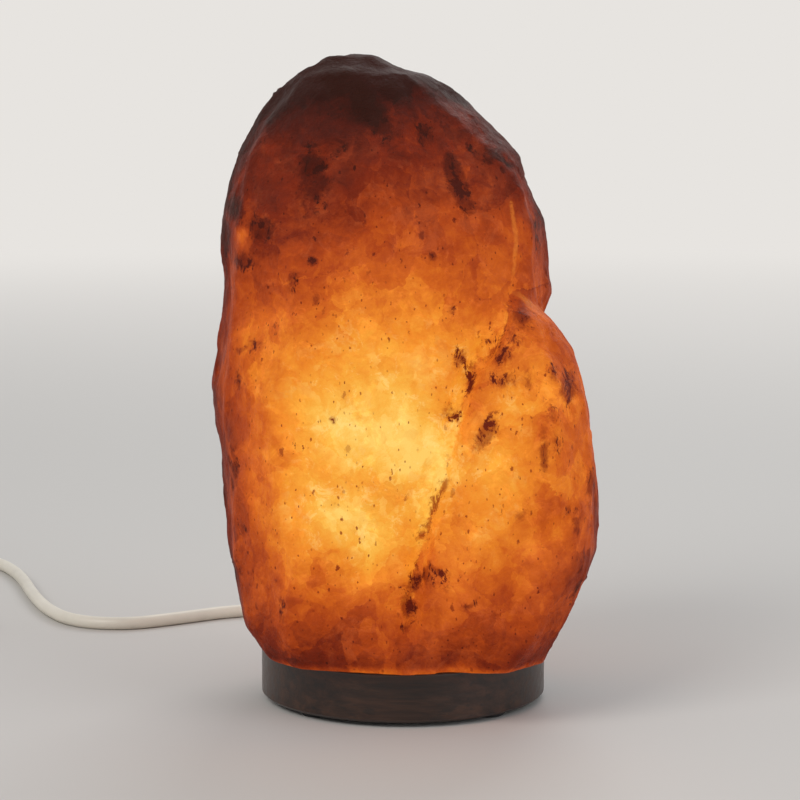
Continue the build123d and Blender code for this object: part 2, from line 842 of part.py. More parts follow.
with BuildPart() as cord_coil:
    quarters = round(coil_turns * 4)
    turns = [quarter / 4 for quarter in range(quarters + 1)]
    knots = [coil_point(turn) for turn in turns]
    ways = [coil_direction(turn) for turn in turns]
    ways[0] = Vector(0, -1, 0)
    ways[-1] = Vector(0, -1, 0)
    with BuildLine() as coil_path:
        Line((coil_end[0], coil_end[1], cord_height), knots[0])
        for index in range(quarters):
            joint = biarc_joint(knots[index], ways[index], knots[index + 1], ways[index + 1])
            first = TangentArc(knots[index], joint, tangent=ways[index])
            TangentArc(joint, knots[index + 1], tangent=first % 1)
        Line(knots[-1], cord_tail_points[0])
    with BuildSketch(Plane(origin=(coil_end[0], coil_end[1], cord_height), z_dir=(0, -1, 0))):
        RegularPolygon(cord_radius, cord_sides)
    sweep()
save("cord_coil", cord_coil.part)
coil_wire = coil_path.wire()
coil_length = coil_wire.length
coil_share = cord_coil.part.volume / (cord_section * coil_length)
samples = [coil_wire @ (index / coil_samples) for index in range(coil_samples + 1)]
apart = round(coil_samples * 6 * cord_diameter / coil_length)
least_gap = min(
    (samples[i] - samples[j]).length - cord_diameter
    for i in range(0, coil_samples + 1, 2)
    for j in range(i + apart, coil_samples + 1, 2)
)
print("cord_coil length", round(coil_length, 1), "volume share", round(coil_share, 4))
print("cord_coil least gap to itself", round(least_gap, 2))
held_length = sheath_top - grip_bottom
whole_cord = held_length + run_length + lead_length + coil_length + tail_length
print("cord length in all", round(whole_cord + switch_length - 2 * switch_bore_depth))

# ---- switch on the cord: two shells, a rocker on its pin, contacts and screws
switch_turn = Plane(origin=(*switch_place, 0), x_dir=(0, -1, 0), z_dir=(0, 0, 1))
half_length = switch_length / 2
waist = half_length - switch_taper
cord_bore_length = half_length - switch_pocket_length / 2 + switch_bore_overlap
screw_along = waist - switch_screw_from_waist
screw_across = switch_width / 2 - switch_screw_from_side
screw_spots = [(screw_along, screw_across), (-screw_along, -screw_across)]


def switch_outline(height):
    """The switch seen from above, a wide middle with a taper to each end."""
    with BuildSketch(switch_turn.offset(height)) as shape:
        with BuildLine():
            Polyline(
                (-half_length, -switch_end_width / 2),
                (-waist, -switch_width / 2),
                (waist, -switch_width / 2),
                (half_length, -switch_end_width / 2),
                (half_length, switch_end_width / 2),
                (waist, switch_width / 2),
                (-waist, switch_width / 2),
                (-half_length, switch_end_width / 2),
                close=True,
            )
        make_face()
        fillet(shape.vertices(), switch_corner)
    return shape.sketch


def cord_bore(end):
    """The round way into one end of the switch, half in each shell."""
    with BuildSketch(Plane.XZ.offset(-switch_place[1] - end * half_length)) as shape:
        with Locations((switch_place[0], switch_entry_height)):
            Circle(cord_radius + loose_fit)
    return shape.sketch


with BuildPart() as switch_bottom:
    extrude(switch_outline(0), amount=switch_entry_height)
    fillet(switch_bottom.edges().group_by(Axis.Z)[0], switch_bottom_round)
    with BuildSketch(switch_turn.offset(switch_floor)):
        Rectangle(switch_pocket_length, switch_pocket_width)
    extrude(amount=switch_entry_height, mode=Mode.SUBTRACT)
    for end in (-1, 1):
        extrude(cord_bore(end), amount=end * cord_bore_length, mode=Mode.SUBTRACT)
    with BuildSketch(switch_turn):
        with Locations(*screw_spots):
            Circle(switch_screw_diameter / 2 + loose_fit)
    extrude(amount=switch_entry_height, mode=Mode.SUBTRACT)
    with BuildSketch(switch_turn):
        with Locations(*screw_spots):
            Circle(switch_screw_head / 2 + 2 * loose_fit)
    extrude(amount=switch_screw_recess, mode=Mode.SUBTRACT)
save("switch_bottom", switch_bottom.part)

with BuildPart() as switch_top:
    extrude(switch_outline(switch_entry_height), amount=switch_height - switch_entry_height)
    fillet(switch_top.edges().group_by(Axis.Z)[-1], switch_round)
    with BuildSketch(switch_turn.offset(switch_entry_height)):
        Rectangle(switch_pocket_length, switch_pocket_width)
    extrude(amount=switch_height - switch_roof - switch_entry_height, mode=Mode.SUBTRACT)
    with BuildSketch(switch_turn.offset(switch_entry_height)):
        Rectangle(2 * (rocker_radius + rocker_gap), rocker_width + 2 * rocker_gap)
    extrude(amount=switch_height, mode=Mode.SUBTRACT)
    for end in (-1, 1):
        extrude(cord_bore(end), amount=end * cord_bore_length, mode=Mode.SUBTRACT)
    with BuildSketch(Plane.YZ.offset(switch_place[0])):
        with Locations((switch_place[1], rocker_pivot_height)):
            Circle(rocker_pin_diameter / 2 + rocker_pin_fit / 2)
    extrude(amount=rocker_pin_length / 2 + loose_fit, both=True, mode=Mode.SUBTRACT)
    with BuildSketch(switch_turn.offset(switch_entry_height)):
        with Locations(*screw_spots):
            Circle(switch_screw_diameter / 2 + loose_fit / 2)
    screw_hole_depth = switch_screw_length - switch_entry_height + switch_screw_spare
    extrude(amount=screw_hole_depth, mode=Mode.SUBTRACT)
save("switch_top", switch_top.part)

with BuildPart() as rocker_pin:
    with BuildSketch(Plane.YZ.offset(switch_place[0])):
        with Locations((switch_place[1], rocker_pivot_height)):
            Circle(rocker_pin_diameter / 2)
    extrude(amount=rocker_pin_length / 2, both=True)
save("rocker_pin", rocker_pin.part)

# The rocker lies tipped to "on". Its ends are round about the pin, its top is a shallow V.
rocker_plane = Plane(
    origin=(switch_place[0], switch_place[1], rocker_pivot_height),
    x_dir=(0, cos(radians(rocker_slope)), sin(radians(rocker_slope))),
    z_dir=(1, 0, 0),
)
slope = tan(radians(rocker_slope))
end_x = (sqrt(rocker_radius**2 * (1 + slope**2) - rocker_top**2) - rocker_top * slope) / (1 + slope**2)
end_y = rocker_top + end_x * slope
heel_x = sqrt(rocker_radius**2 - rocker_heel**2)
with BuildPart() as switch_rocker:
    with BuildSketch(rocker_plane) as side:
        with BuildLine():
            Polyline((-end_x, end_y), (0, rocker_top), (end_x, end_y))
            ThreePointArc((end_x, end_y), (rocker_radius, 0), (heel_x, -rocker_heel))
            Line((heel_x, -rocker_heel), (-heel_x, -rocker_heel))
            ThreePointArc((-heel_x, -rocker_heel), (-rocker_radius, 0), (-end_x, end_y))
        make_face()
        Circle(rocker_pin_diameter / 2 + rocker_pin_fit, mode=Mode.SUBTRACT)
    extrude(amount=rocker_width / 2, both=True)
save("switch_rocker", switch_rocker.part)

with BuildPart() as switch_contacts:
    for end in (-1, 1):
        with BuildSketch(switch_turn.offset(switch_floor)):
            with Locations((end * switch_strip_place, 0)):
                Rectangle(switch_strip_length, switch_strip_width)
        extrude(amount=strip_sheet)
        with BuildSketch(switch_turn.offset(switch_floor)):
            with Locations((end * switch_stud_place, 0)):
                Circle(switch_stud_radius)
        extrude(amount=switch_stud_height)
save("switch_contacts", switch_contacts.part)

with BuildPart() as switch_screws:
    with BuildSketch(switch_turn.offset(switch_screw_recess)):
        with Locations(*screw_spots):
            Circle(switch_screw_diameter / 2)
    extrude(amount=switch_screw_length - switch_screw_recess)
    with BuildSketch(switch_turn.offset(switch_screw_recess)):
        with Locations(*screw_spots):
            Circle(switch_screw_head / 2)
    extrude(amount=-switch_screw_head_height)
save("switch_screws", switch_screws.part)

# ---- plug: a flat body, two pins, and the sleeves over the pins' inner halves
plug_front = plug_place[1] - plug_body_length


def plug_section(forward, width, thickness):
    """One rounded section of the plug's body, so far forward of the cord's end."""
    with BuildSketch(Plane.XZ.offset(forward - plug_place[1])) as shape:
        with Locations((plug_place[0], plug_height)):
            RectangleRounded(width, thickness, thickness / 2 - plug_side_flat)
    return shape.sketch


with BuildPart() as plug_body:
    plug_grip = plug_section(*plug_sections[-1])
    plug_face = plug_section(plug_body_length, plug_width, plug_thickness)
    loft(sections=[plug_section(*section) for section in plug_sections])
    loft(sections=[plug_grip, plug_face])
    with BuildSketch(Plane.XZ.offset(-plug_place[1])):
        with Locations((plug_place[0], plug_height)):
            Circle(cord_radius + loose_fit)
    extrude(amount=plug_cord_depth, mode=Mode.SUBTRACT)
    with BuildSketch(Plane.XZ.offset(-plug_front)):
        with Locations((plug_place[0], plug_height)):
            with GridLocations(pin_spacing, 0, 2, 1):
                Circle(pin_core_diameter / 2)
    extrude(amount=-pin_root, mode=Mode.SUBTRACT)
save("plug_body", plug_body.part)

pin_row = Plane(origin=(plug_place[0], plug_front, plug_height), x_dir=(1, 0, 0), z_dir=(0, -1, 0))
with BuildPart() as plug_pins:
    with BuildSketch(pin_row.offset(-pin_root)):
        with GridLocations(pin_spacing, 0, 2, 1):
            Circle(pin_core_diameter / 2)
    extrude(amount=pin_root + pin_sleeve_length)
    with BuildSketch(pin_row.offset(pin_sleeve_length)):
        with GridLocations(pin_spacing, 0, 2, 1):
            Circle(pin_diameter / 2)
    extrude(amount=pin_length - pin_sleeve_length)
    chamfer(plug_pins.edges().group_by(Axis.Y)[0], pin_tip_edge)
save("plug_pins", plug_pins.part)

with BuildPart() as pin_sleeves:
    with BuildSketch(pin_row):
        with GridLocations(pin_spacing, 0, 2, 1):
            Circle(pin_sleeve_diameter / 2)
            Circle(pin_core_diameter / 2, mode=Mode.SUBTRACT)
    extrude(amount=pin_sleeve_length)
save("pin_sleeves", pin_sleeves.part)
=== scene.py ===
"""Salt crystal lamp: the looks of the crystal, its wooden base, the bulb, the cord, the switch and
the plug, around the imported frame. Lengths are in metres."""

import math

import bmesh
import bpy
import numpy as np
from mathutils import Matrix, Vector, noise


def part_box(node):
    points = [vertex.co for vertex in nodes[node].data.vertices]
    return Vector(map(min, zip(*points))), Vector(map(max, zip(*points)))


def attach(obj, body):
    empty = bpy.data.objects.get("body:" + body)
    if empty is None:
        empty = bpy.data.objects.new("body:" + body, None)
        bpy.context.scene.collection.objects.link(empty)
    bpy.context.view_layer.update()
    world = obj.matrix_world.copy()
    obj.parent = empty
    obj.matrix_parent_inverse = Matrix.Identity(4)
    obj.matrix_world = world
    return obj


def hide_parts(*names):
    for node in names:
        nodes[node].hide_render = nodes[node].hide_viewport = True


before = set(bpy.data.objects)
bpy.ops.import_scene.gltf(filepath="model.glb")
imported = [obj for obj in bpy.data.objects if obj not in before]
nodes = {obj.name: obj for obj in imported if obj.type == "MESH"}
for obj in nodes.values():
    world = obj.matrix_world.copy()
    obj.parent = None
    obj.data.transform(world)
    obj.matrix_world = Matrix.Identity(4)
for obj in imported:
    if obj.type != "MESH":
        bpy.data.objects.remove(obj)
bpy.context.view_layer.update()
scene = bpy.context.scene

# ---- sizes and places, as in the part's source
BASE_TOP = 0.022
SCREW_CIRCLE = 0.038
SCREW_TURNS = (0.0, math.pi, 1.5 * math.pi)
CORD_DIAMETER = 0.0055
CORD_HEIGHT = 0.0028


def smooth_step(low, high, value):
    """0 below low, 1 above high and a soft S between."""
    t = np.clip((value - low) / (high - low), 0.0, 1.0)
    return t * t * (3 - 2 * t)


# ---------------------------------------------------------------- camera and light
CAMERA_PLACE = (-0.00117, -1.0, 0.242)
CAMERA_LENS = 117.6
CAMERA_DIP = math.radians(7.19)
LIT_POINT = Vector((0.0, 0.0, 0.12))
# Soft square lamps: place, size, watts, colour.
LAMPS = {
    "key": ((-1.3, -1.5, 1.7), 1.2, 26.0, (1.0, 0.97, 0.93)),
    "fill": ((1.6, -1.2, 0.9), 1.4, 11.0, (0.94, 0.97, 1.0)),
    "back": ((0.5, 1.8, 1.5), 1.2, 14.0, (1.0, 1.0, 1.0)),
}


def place_camera():
    """The camera where the photo was taken from."""
    camera = bpy.data.objects.new("camera", bpy.data.cameras.new("camera"))
    scene.collection.objects.link(camera)
    camera.data.sensor_width = 36.0
    camera.data.lens = CAMERA_LENS
    camera.data.clip_start = 0.05
    camera.data.clip_end = 60.0
    camera.location = CAMERA_PLACE
    camera.rotation_euler = (math.pi / 2 - CAMERA_DIP, 0.0, 0.0)
    scene.camera = camera


def area_light(name, place, size, watts, colour):
    """A soft square lamp that looks at the middle of the crystal."""
    lamp = bpy.data.lights.new(name, "AREA")
    lamp.shape = "SQUARE"
    lamp.size = size
    lamp.energy = watts
    lamp.color = colour
    holder = bpy.data.objects.new(name, lamp)
    scene.collection.objects.link(holder)
    holder.location = place
    holder.rotation_euler = (LIT_POINT - Vector(place)).to_track_quat("-Z", "Y").to_euler()


place_camera()
scene.view_settings.view_transform = "Standard"
for name, settings in LAMPS.items():
    area_light(name, *settings)


# ---------------------------------------------------------------- node materials
class Paint:
    """A material, or a world, under construction: small steps that each return an output socket."""

    def __init__(self, name, owner=None):
        self.material = owner or bpy.data.materials.new(name)
        self.material.use_nodes = True
        self.tree = self.material.node_tree
        self.shader = self.tree.nodes.get("Principled BSDF")
        self.out = self.tree.nodes.get("Material Output")

    def node(self, kind, **settings):
        made = self.tree.nodes.new(kind)
        for key, value in settings.items():
            setattr(made, key, value)
        return made

    def plug(self, value, socket):
        """Link an output, or write a plain value."""
        if isinstance(value, bpy.types.NodeSocket):
            self.tree.links.new(value, socket)
        elif isinstance(value, (tuple, list)) and len(value) == 3 and socket.type == "RGBA":
            socket.default_value = (*value, 1.0)
        else:
            socket.default_value = value

    def filled(self, made, **values):
        """Plug values into the inputs with these names, where _ stands for a space."""
        for key, value in values.items():
            self.plug(value, made.inputs[key.replace("_", " ")])
        return made

    def place(self):
        return self.node("ShaderNodeTexCoord").outputs["Object"]

    def attribute(self, name):
        return self.node("ShaderNodeAttribute", attribute_name=name).outputs["Fac"]

    def scaled(self, vector, scale):
        return self.filled(self.node("ShaderNodeMapping"), Vector=vector, Scale=scale).outputs["Vector"]

    def math(self, operation, a, b=0.0, c=0.0):
        made = self.node("ShaderNodeMath", operation=operation)
        for value, socket in zip((a, b, c), made.inputs):
            self.plug(value, socket)
        return made.outputs[0]

    def chain(self, operation, first, *others):
        for value in others:
            first = self.math(operation, first, value)
        return first

    def add(self, *values):
        return self.chain("ADD", *values)

    def times(self, *values):
        return self.chain("MULTIPLY", *values)

    def most(self, *values):
        return self.chain("MAXIMUM", *values)

    def swing(self, value, amount):
        """A value of 0 to 1, moved to lie around 0 and scaled."""
        return self.times(self.math("SUBTRACT", value, 0.5), amount)

    def vector(self, operation, a, b=(0.0, 0.0, 0.0)):
        made = self.node("ShaderNodeVectorMath", operation=operation)
        self.plug(a, made.inputs[0])
        self.plug(b, made.inputs["Scale" if operation == "SCALE" else 1])
        return made.outputs["Value" if operation == "LENGTH" else "Vector"]

    def shifted(self, vector, way, amount):
        return self.vector("ADD", vector, self.vector("SCALE", way, amount))

    def split(self, value, kind="XYZ"):
        """The three outputs of a vector, or of a colour."""
        made = self.node("ShaderNodeSeparate" + kind)
        self.plug(value, made.inputs[0])
        return made.outputs

    def noise(self, vector, scale, detail=2.0, roughness=0.5, distortion=0.0, output="Fac"):
        made = self.filled(self.node("ShaderNodeTexNoise"), Vector=vector, Scale=scale, Detail=detail)
        return self.filled(made, Roughness=roughness, Distortion=distortion).outputs[output]

    def wander(self, vector, scale, detail, roughness):
        """A soft random vector around 0."""
        spread = self.noise(vector, scale, detail, roughness, output="Color")
        return self.vector("SUBTRACT", spread, (0.5, 0.5, 0.5))

    def cells(self, vector, scale, output="Distance"):
        made = self.node("ShaderNodeTexVoronoi")
        return self.filled(made, Vector=vector, Scale=scale).outputs[output]

    def span(self, value, low, high, out_low=0.0, out_high=1.0):
        """Value from low..high to out_low..out_high, softly and clamped."""
        made = self.node("ShaderNodeMapRange", interpolation_type="SMOOTHSTEP")
        self.filled(made, Value=value, From_Min=low, From_Max=high, To_Min=out_low, To_Max=out_high)
        return made.outputs["Result"]

    def ramp(self, value, stops):
        made = self.filled(self.node("ShaderNodeValToRGB"), Fac=value)
        elements = made.color_ramp.elements
        while len(elements) < len(stops):
            elements.new(0.5)
        for element, (position, colour) in zip(elements, stops):
            element.position = position
            element.color = (*colour, 1.0)
        return made.outputs["Color"]

    def mix(self, share, a, b, blend="MIX"):
        made = self.node("ShaderNodeMix", data_type="RGBA", blend_type=blend)
        self.plug(share, made.inputs["Factor"])
        self.plug(a, made.inputs[6])
        self.plug(b, made.inputs[7])
        return made.outputs[2]

    def tinted(self, colour, tint):
        return self.mix(1.0, colour, tint, "MULTIPLY")

    def bump(self, height, distance, strength=1.0):
        made = self.filled(self.node("ShaderNodeBump"), Strength=strength, Distance=distance, Height=height)
        self.plug(made.outputs["Normal"], self.shader.inputs["Normal"])

    def set(self, **values):
        self.filled(self.shader, **values)
        return self.material

    def seen(self):
        """1 for rays that show the surface itself: from the camera, off a gloss or through glass."""
        rays = self.node("ShaderNodeLightPath").outputs
        return self.most(rays["Is Camera Ray"], rays["Is Glossy Ray"], rays["Is Transmission Ray"])

    def blended(self, share, first, second):
        made = self.node("ShaderNodeMixShader")
        for value, socket in zip((share, first, second), made.inputs):
            self.plug(value, socket)
        return made.outputs[0]


# The glow: its middle, how far the front and the back are folded in towards it, its flattening, and
# the metres of salt at which it starts to fade and is gone.
GLOW_CENTRE = (0.0, 0.0, 0.1085)
GLOW_FOLD = 0.045
GLOW_HEIGHT = 0.95
GLOW_START = 0.010
GLOW_END = 0.120
# Colour of the light let out, and of the salt itself, along that way; the salt's colour is painted lighter
# where the glow is strong, which is painted light.
GLOW_TONES = [
    (0.00, (0.86, 0.56, 0.115)),
    (0.08, (0.81, 0.42, 0.050)),
    (0.16, (0.78, 0.325, 0.026)),
    (0.29, (0.70, 0.210, 0.011)),
    (0.44, (0.46, 0.085, 0.003)),
    (0.56, (0.27, 0.034, 0.001)),
    (0.70, (0.09, 0.006, 0.0)),
    (0.84, (0.025, 0.001, 0.0)),
    (1.00, (0.0, 0.0, 0.0)),
]
SALT_TONES_LIT_BY_GLOW = [
    (0.08, (0.22, 0.066, 0.017)),
    (0.33, (0.20, 0.044, 0.010)),
    (0.56, (0.175, 0.027, 0.007)),
    (0.72, (0.125, 0.016, 0.005)),
    (0.88, (0.062, 0.009, 0.004)),
    (1.00, (0.034, 0.007, 0.004)),
]
PALE_BODY = (0.32, 0.105, 0.042)
# darker salt colour for the stains, the specks and along the crease
DARKENED_BODY = (0.030, 0.006, 0.0025)
# What is left of the glow in a stain, in a clot, in a speck and in the painted shade on the dim side of a
# flake.
STAIN_TINT = (0.34, 0.10, 0.045)
CLOT_TINT = (0.15, 0.030, 0.012)
SPECK_TINT = (0.30, 0.055, 0.02)
FLAKE_SHADE_TINT = (0.74, 0.52, 0.36)
MILK_TINT = (1.42, 1.50, 1.60)
GLINT_TONE = (0.98, 0.74, 0.26)
# painted highlight on the bright side of a flake
FLAKE_HIGHLIGHT_TONE = (0.94, 0.64, 0.16)
# painted highlight along the edges
EDGE_HIGHLIGHT_TONE = (0.70, 0.22, 0.025)
# Cells per metre, with for patches the metres of salt they add or take, for flakes the share left out
# and the brightness of their painted highlight, and for specks the size in a cell and the share left out.
PATCHES = ((24.0, 0.010), (60.0, 0.009), (130.0, 0.006))
FLAKES = ((95.0, 0.80, 0.26), (210.0, 0.74, 0.32))
SPECKS = ((96.0, 0.095, 0.45), (190.0, 0.120, 0.40), (330.0, 0.150, 0.40), (520.0, 0.180, 0.55))


class Salt(Paint):
    """Rock salt lit from inside: the glow falls off from the bulb and reddens, with cloudy patches,
    flakes with painted highlights and shade, stains, specks, painted edge highlights and darkening along the
    crease."""

    def __init__(self):
        super().__init__("rock_salt")
        self.here = self.place()
        self.drift = self.wander(self.here, 14.0, 3.0, 0.55)
        self.cloud = self.noise(self.here, 46.0, 5.0, 0.62, 0.6)
        self.grain = self.noise(self.here, 150.0, 5.0, 0.75, 0.5)
        # places bent for patches and flakes, and places drawn out upward for stains and specks
        ripple = self.wander(self.here, 120.0, 3.0, 0.65)
        self.warped = self.shifted(self.shifted(self.here, self.drift, 0.030), ripple, 0.009)
        self.drawn = self.scaled(self.shifted(self.here, self.drift, 0.012), (1.0, 1.0, 0.55))
        self.fine = self.noise(self.drawn, 170.0, 6.0, 0.80, 0.5)
        # metres to the right of the crease, and 1 where the crease shows: in front and above the foot
        self.side = self.add(self.attribute("crease"), self.swing(self.grain, 0.007))
        self.foot = self.span(self.split(self.here)["Z"], 0.036, 0.056)
        self.creased = self.times(self.foot, self.attribute("facing"))

    def light_share(self):
        """How much salt the light has come through, from 0 at the glow to 1 where nothing is left."""
        axes = self.split(self.vector("SUBTRACT", self.shifted(self.here, self.drift, 0.010), GLOW_CENTRE))
        folded = self.filled(
            self.node("ShaderNodeCombineXYZ"),
            X=axes["X"],
            Y=self.math("SUBTRACT", self.math("ABSOLUTE", axes["Y"]), GLOW_FOLD),
            Z=self.times(axes["Z"], GLOW_HEIGHT),
        )
        reach = self.vector("LENGTH", folded.outputs[0])
        reach = self.add(reach, self.swing(self.cloud, 0.030), self.swing(self.grain, 0.030))
        reach = self.add(reach, self.times(self.attribute("relief"), 0.0035))
        for scale, spread in PATCHES:
            shade = self.split(self.cells(self.warped, scale, "Color"), "Color")[1]
            reach = self.add(reach, self.swing(shade, spread))
        # the right-hand lump starts darker at the crease: painted shade beside the crease
        step = self.times(self.span(self.side, -0.0006, 0.0006), self.span(self.side, 0.020, 0.0, 0.0, 0.013))
        reach = self.add(reach, self.times(step, self.creased))
        reach = self.math("SUBTRACT", reach, self.attribute("thin"))
        share = self.node("ShaderNodeMapRange")
        return self.filled(share, Value=reach, From_Min=GLOW_START, From_Max=GLOW_END).outputs["Result"]

    def clouded(self, share, glow, body):
        """Pale patches, frosty glints where the glow is strongest, and broken flakes, each with a painted
        highlight on one side and painted shade on the other.
        """
        milk = self.span(self.noise(self.here, 26.0, 6.0, 0.66, 0.9), 0.50, 0.72)
        frost = self.span(self.noise(self.here, 75.0, 6.0, 0.75, 0.7), 0.52, 0.62)
        milk = self.most(milk, self.times(frost, 0.8))
        body = self.mix(self.times(milk, self.span(share, 0.90, 0.55, 0.0, 0.28)), body, PALE_BODY)
        glow = self.mix(self.times(milk, 0.42), glow, MILK_TINT, "MULTIPLY")
        strong = self.span(share, 0.40, 0.05)
        glint = self.span(self.noise(self.here, 120.0, 6.0, 0.80, 0.5), 0.54, 0.62)
        glow = self.mix(self.times(glint, strong, 0.36), glow, GLINT_TONE)
        # each flake is painted bright towards one side and dark towards the other: painted highlight and
        # painted shade
        for scale, keep, bright in FLAKES:
            flake = self.split(self.cells(self.warped, scale, "Color"), "Color")
            middle = self.cells(self.warped, scale, "Position")
            across = self.split(self.vector("SUBTRACT", self.warped, middle))
            light_slope = self.span(self.times(self.add(across["X"], across["Z"]), scale), -0.45, 0.45)
            flake_highlight = self.times(self.span(flake[2], keep, keep + 0.10, 0.0, bright), light_slope, strong)
            glow = self.mix(flake_highlight, glow, FLAKE_HIGHLIGHT_TONE)
            flake_shade = self.times(self.span(flake[0], keep, keep + 0.10, 0.0, 0.20), light_slope)
            glow = self.mix(flake_shade, glow, self.tinted(glow, FLAKE_SHADE_TINT))
        return glow, body

    def stains(self, where):
        """Brown stains: a thin veil, and the clots in it."""
        ragged = self.add(where, self.swing(self.cloud, 1.1), self.swing(self.grain, 1.3))
        veil = self.span(ragged, 0.28, 0.85, 0.0, 0.70)
        clots = self.add(self.times(ragged, 0.42), self.swing(self.fine, 3.4))
        clots = self.times(self.span(clots, 0.36, 0.54, 0.0, 0.95), self.span(where, 0.12, 0.40))
        return veil, clots

    def furrow(self):
        """Darker along the crease, broken up."""
        near = self.add(self.math("ABSOLUTE", self.side), self.swing(self.fine, 0.010))
        broken = self.span(self.cloud, 0.46, 0.60, 0.0, 0.85)
        return self.times(self.span(near, 0.0010, 0.0), broken, self.creased)

    def specks(self, where):
        """Small dark grains, longer than wide, and more of them in the stains."""
        found = 0.0
        for scale, size, keep in SPECKS:
            jitter = self.swing(self.noise(self.here, scale * 3.6, 4.0, 0.75), 0.46)
            near = self.add(self.cells(self.drawn, scale), jitter)
            chance = self.split(self.cells(self.drawn, scale, "Color"), "Color")
            kept = self.math("GREATER_THAN", self.add(chance[0], self.times(where, 0.5)), keep)
            deep = self.span(chance[1], 0.0, 1.0, 0.35, 1.0)
            found = self.most(found, self.times(self.span(near, size, size * 0.45), deep, kept))
        return self.times(found, 0.9)

    def edge_highlights(self):
        """Thin bright lines along the listed edges: painted highlights."""
        near = self.add(self.attribute("gleam"), self.swing(self.fine, 0.002))
        broken = self.span(self.cloud, 0.40, 0.55, 0.10, 0.40)
        return self.times(self.span(near, 0.0010, 0.0002), broken, self.attribute("facing"))

    def finished(self):
        share = self.light_share()
        # the salt's base colour follows the glow too: painted light
        glow, body = self.clouded(share, self.ramp(share, GLOW_TONES), self.ramp(share, SALT_TONES_LIT_BY_GLOW))
        loose = self.span(self.noise(self.here, 27.0, 4.0, 0.6, 0.4), 0.60, 0.72, 0.0, 0.75)
        where = self.most(self.attribute("stain"), loose)
        veil, clots = self.stains(where)
        specks = self.specks(where)
        dark = self.most(veil, clots, self.furrow())
        lit = self.mix(dark, glow, self.tinted(glow, STAIN_TINT))
        lit = self.mix(clots, lit, self.tinted(glow, CLOT_TINT))
        lit = self.mix(specks, lit, self.tinted(glow, SPECK_TINT))
        # painted highlights along the edges
        lit = self.mix(self.edge_highlights(), lit, EDGE_HIGHLIGHT_TONE)
        body = self.mix(self.most(dark, specks), body, DARKENED_BODY)
        bumps = self.noise(self.here, 230.0, 6.0, 0.72)
        bumps = self.add(bumps, self.times(self.cells(self.drawn, 120.0), 0.5), self.times(self.cloud, 1.5))
        self.bump(bumps, 0.0018, 0.8)
        return self.set(
            Base_Color=body,
            Roughness=self.span(self.noise(self.here, 60.0, 4.0, 0.7), 0.3, 0.7, 0.50, 0.74),
            IOR=1.54,
            Specular_IOR_Level=0.10,
            Subsurface_Weight=0.12,
            Subsurface_Radius=(0.02, 0.006, 0.003),
            Subsurface_Scale=0.2,
            Emission_Color=lit,
            Emission_Strength=1.0,
        )


def wood():
    """Dark stained wood with fine grain along X, under a satin lacquer."""
    p = Paint("dark_wood")
    here = p.place()
    bend = p.noise(p.scaled(here, (5.0, 14.0, 14.0)), 1.0, 3.0, 0.5, output="Color")
    bands = p.noise(p.scaled(p.shifted(here, bend, 0.020), (3.5, 60.0, 60.0)), 5.0, 5.0, 0.6, 0.2)
    pores = p.noise(p.scaled(here, (30.0, 520.0, 520.0)), 1.0, 3.0, 0.6)
    tone = p.ramp(bands, [
        (0.30, (0.008, 0.0028, 0.0013)),
        (0.50, (0.024, 0.0085, 0.0034)),
        (0.70, (0.048, 0.0175, 0.0068)),
    ])
    tone = p.mix(p.span(pores, 0.55, 0.68, 0.0, 0.6), tone, (0.006, 0.003, 0.002))
    p.bump(p.add(p.times(bands, 0.4), p.times(pores, 0.6)), 0.0004, 0.35)
    rough = p.span(bands, 0.3, 0.7, 0.30, 0.42)
    return p.set(Base_Color=tone, Roughness=rough, Coat_Weight=0.06, Coat_Roughness=0.28)


def plastic(name, colour, roughness, grain=900.0, depth=0.00008):
    """Moulded plastic: a fine spark-eroded grain and slightly uneven tone."""
    p = Paint(name)
    here = p.place()
    tone = p.span(p.noise(here, 35.0, 3.0, 0.6), 0.35, 0.75)
    darker = tuple(c * 0.868 for c in colour)
    rough = p.span(p.noise(here, 80.0, 3.0), 0.3, 0.7, roughness * 0.85, roughness * 1.15)
    p.bump(p.noise(here, grain, 2.0, 0.6), depth, 0.6)
    return p.set(Base_Color=p.mix(tone, colour, darker), Roughness=rough)


def metal(name, colour, roughness, brushed=(1.0, 1.0, 1.0)):
    """Metal with fine brush lines and a faint tarnish."""
    p = Paint(name)
    here = p.place()
    film = p.span(p.noise(here, 120.0, 4.0, 0.6), 0.35, 0.8)
    dull = tuple(c * 0.72 for c in colour)
    p.bump(p.noise(p.scaled(here, brushed), 900.0, 3.0, 0.6), 0.00003, 0.5)
    rough = p.span(film, 0.0, 1.0, roughness, roughness + 0.16)
    return p.set(Base_Color=p.mix(film, colour, dull), Metallic=1.0, Roughness=rough)


def clear_glass(name, tint, roughness):
    """Clear glass with a faint smear."""
    p = Paint(name)
    smear = p.span(p.noise(p.place(), 60.0, 3.0, 0.6), 0.4, 0.8, roughness, roughness + 0.05)
    return p.set(Base_Color=tint, Roughness=smear, Transmission_Weight=1.0, IOR=1.46)


def hot_wire():
    """The glowing filament."""
    p = Paint("hot_filament")
    tone = p.mix(p.noise(p.place(), 2600.0, 2.0), (0.9, 0.6, 0.3), (0.6, 0.3, 0.1))
    return p.set(Base_Color=tone, Roughness=0.4, Emission_Color=(1.0, 0.62, 0.22), Emission_Strength=6.0)


def paint(node, material):
    """Give a carried-over CAD node its material."""
    slots = nodes[node].data.materials
    slots.clear()
    slots.append(material)


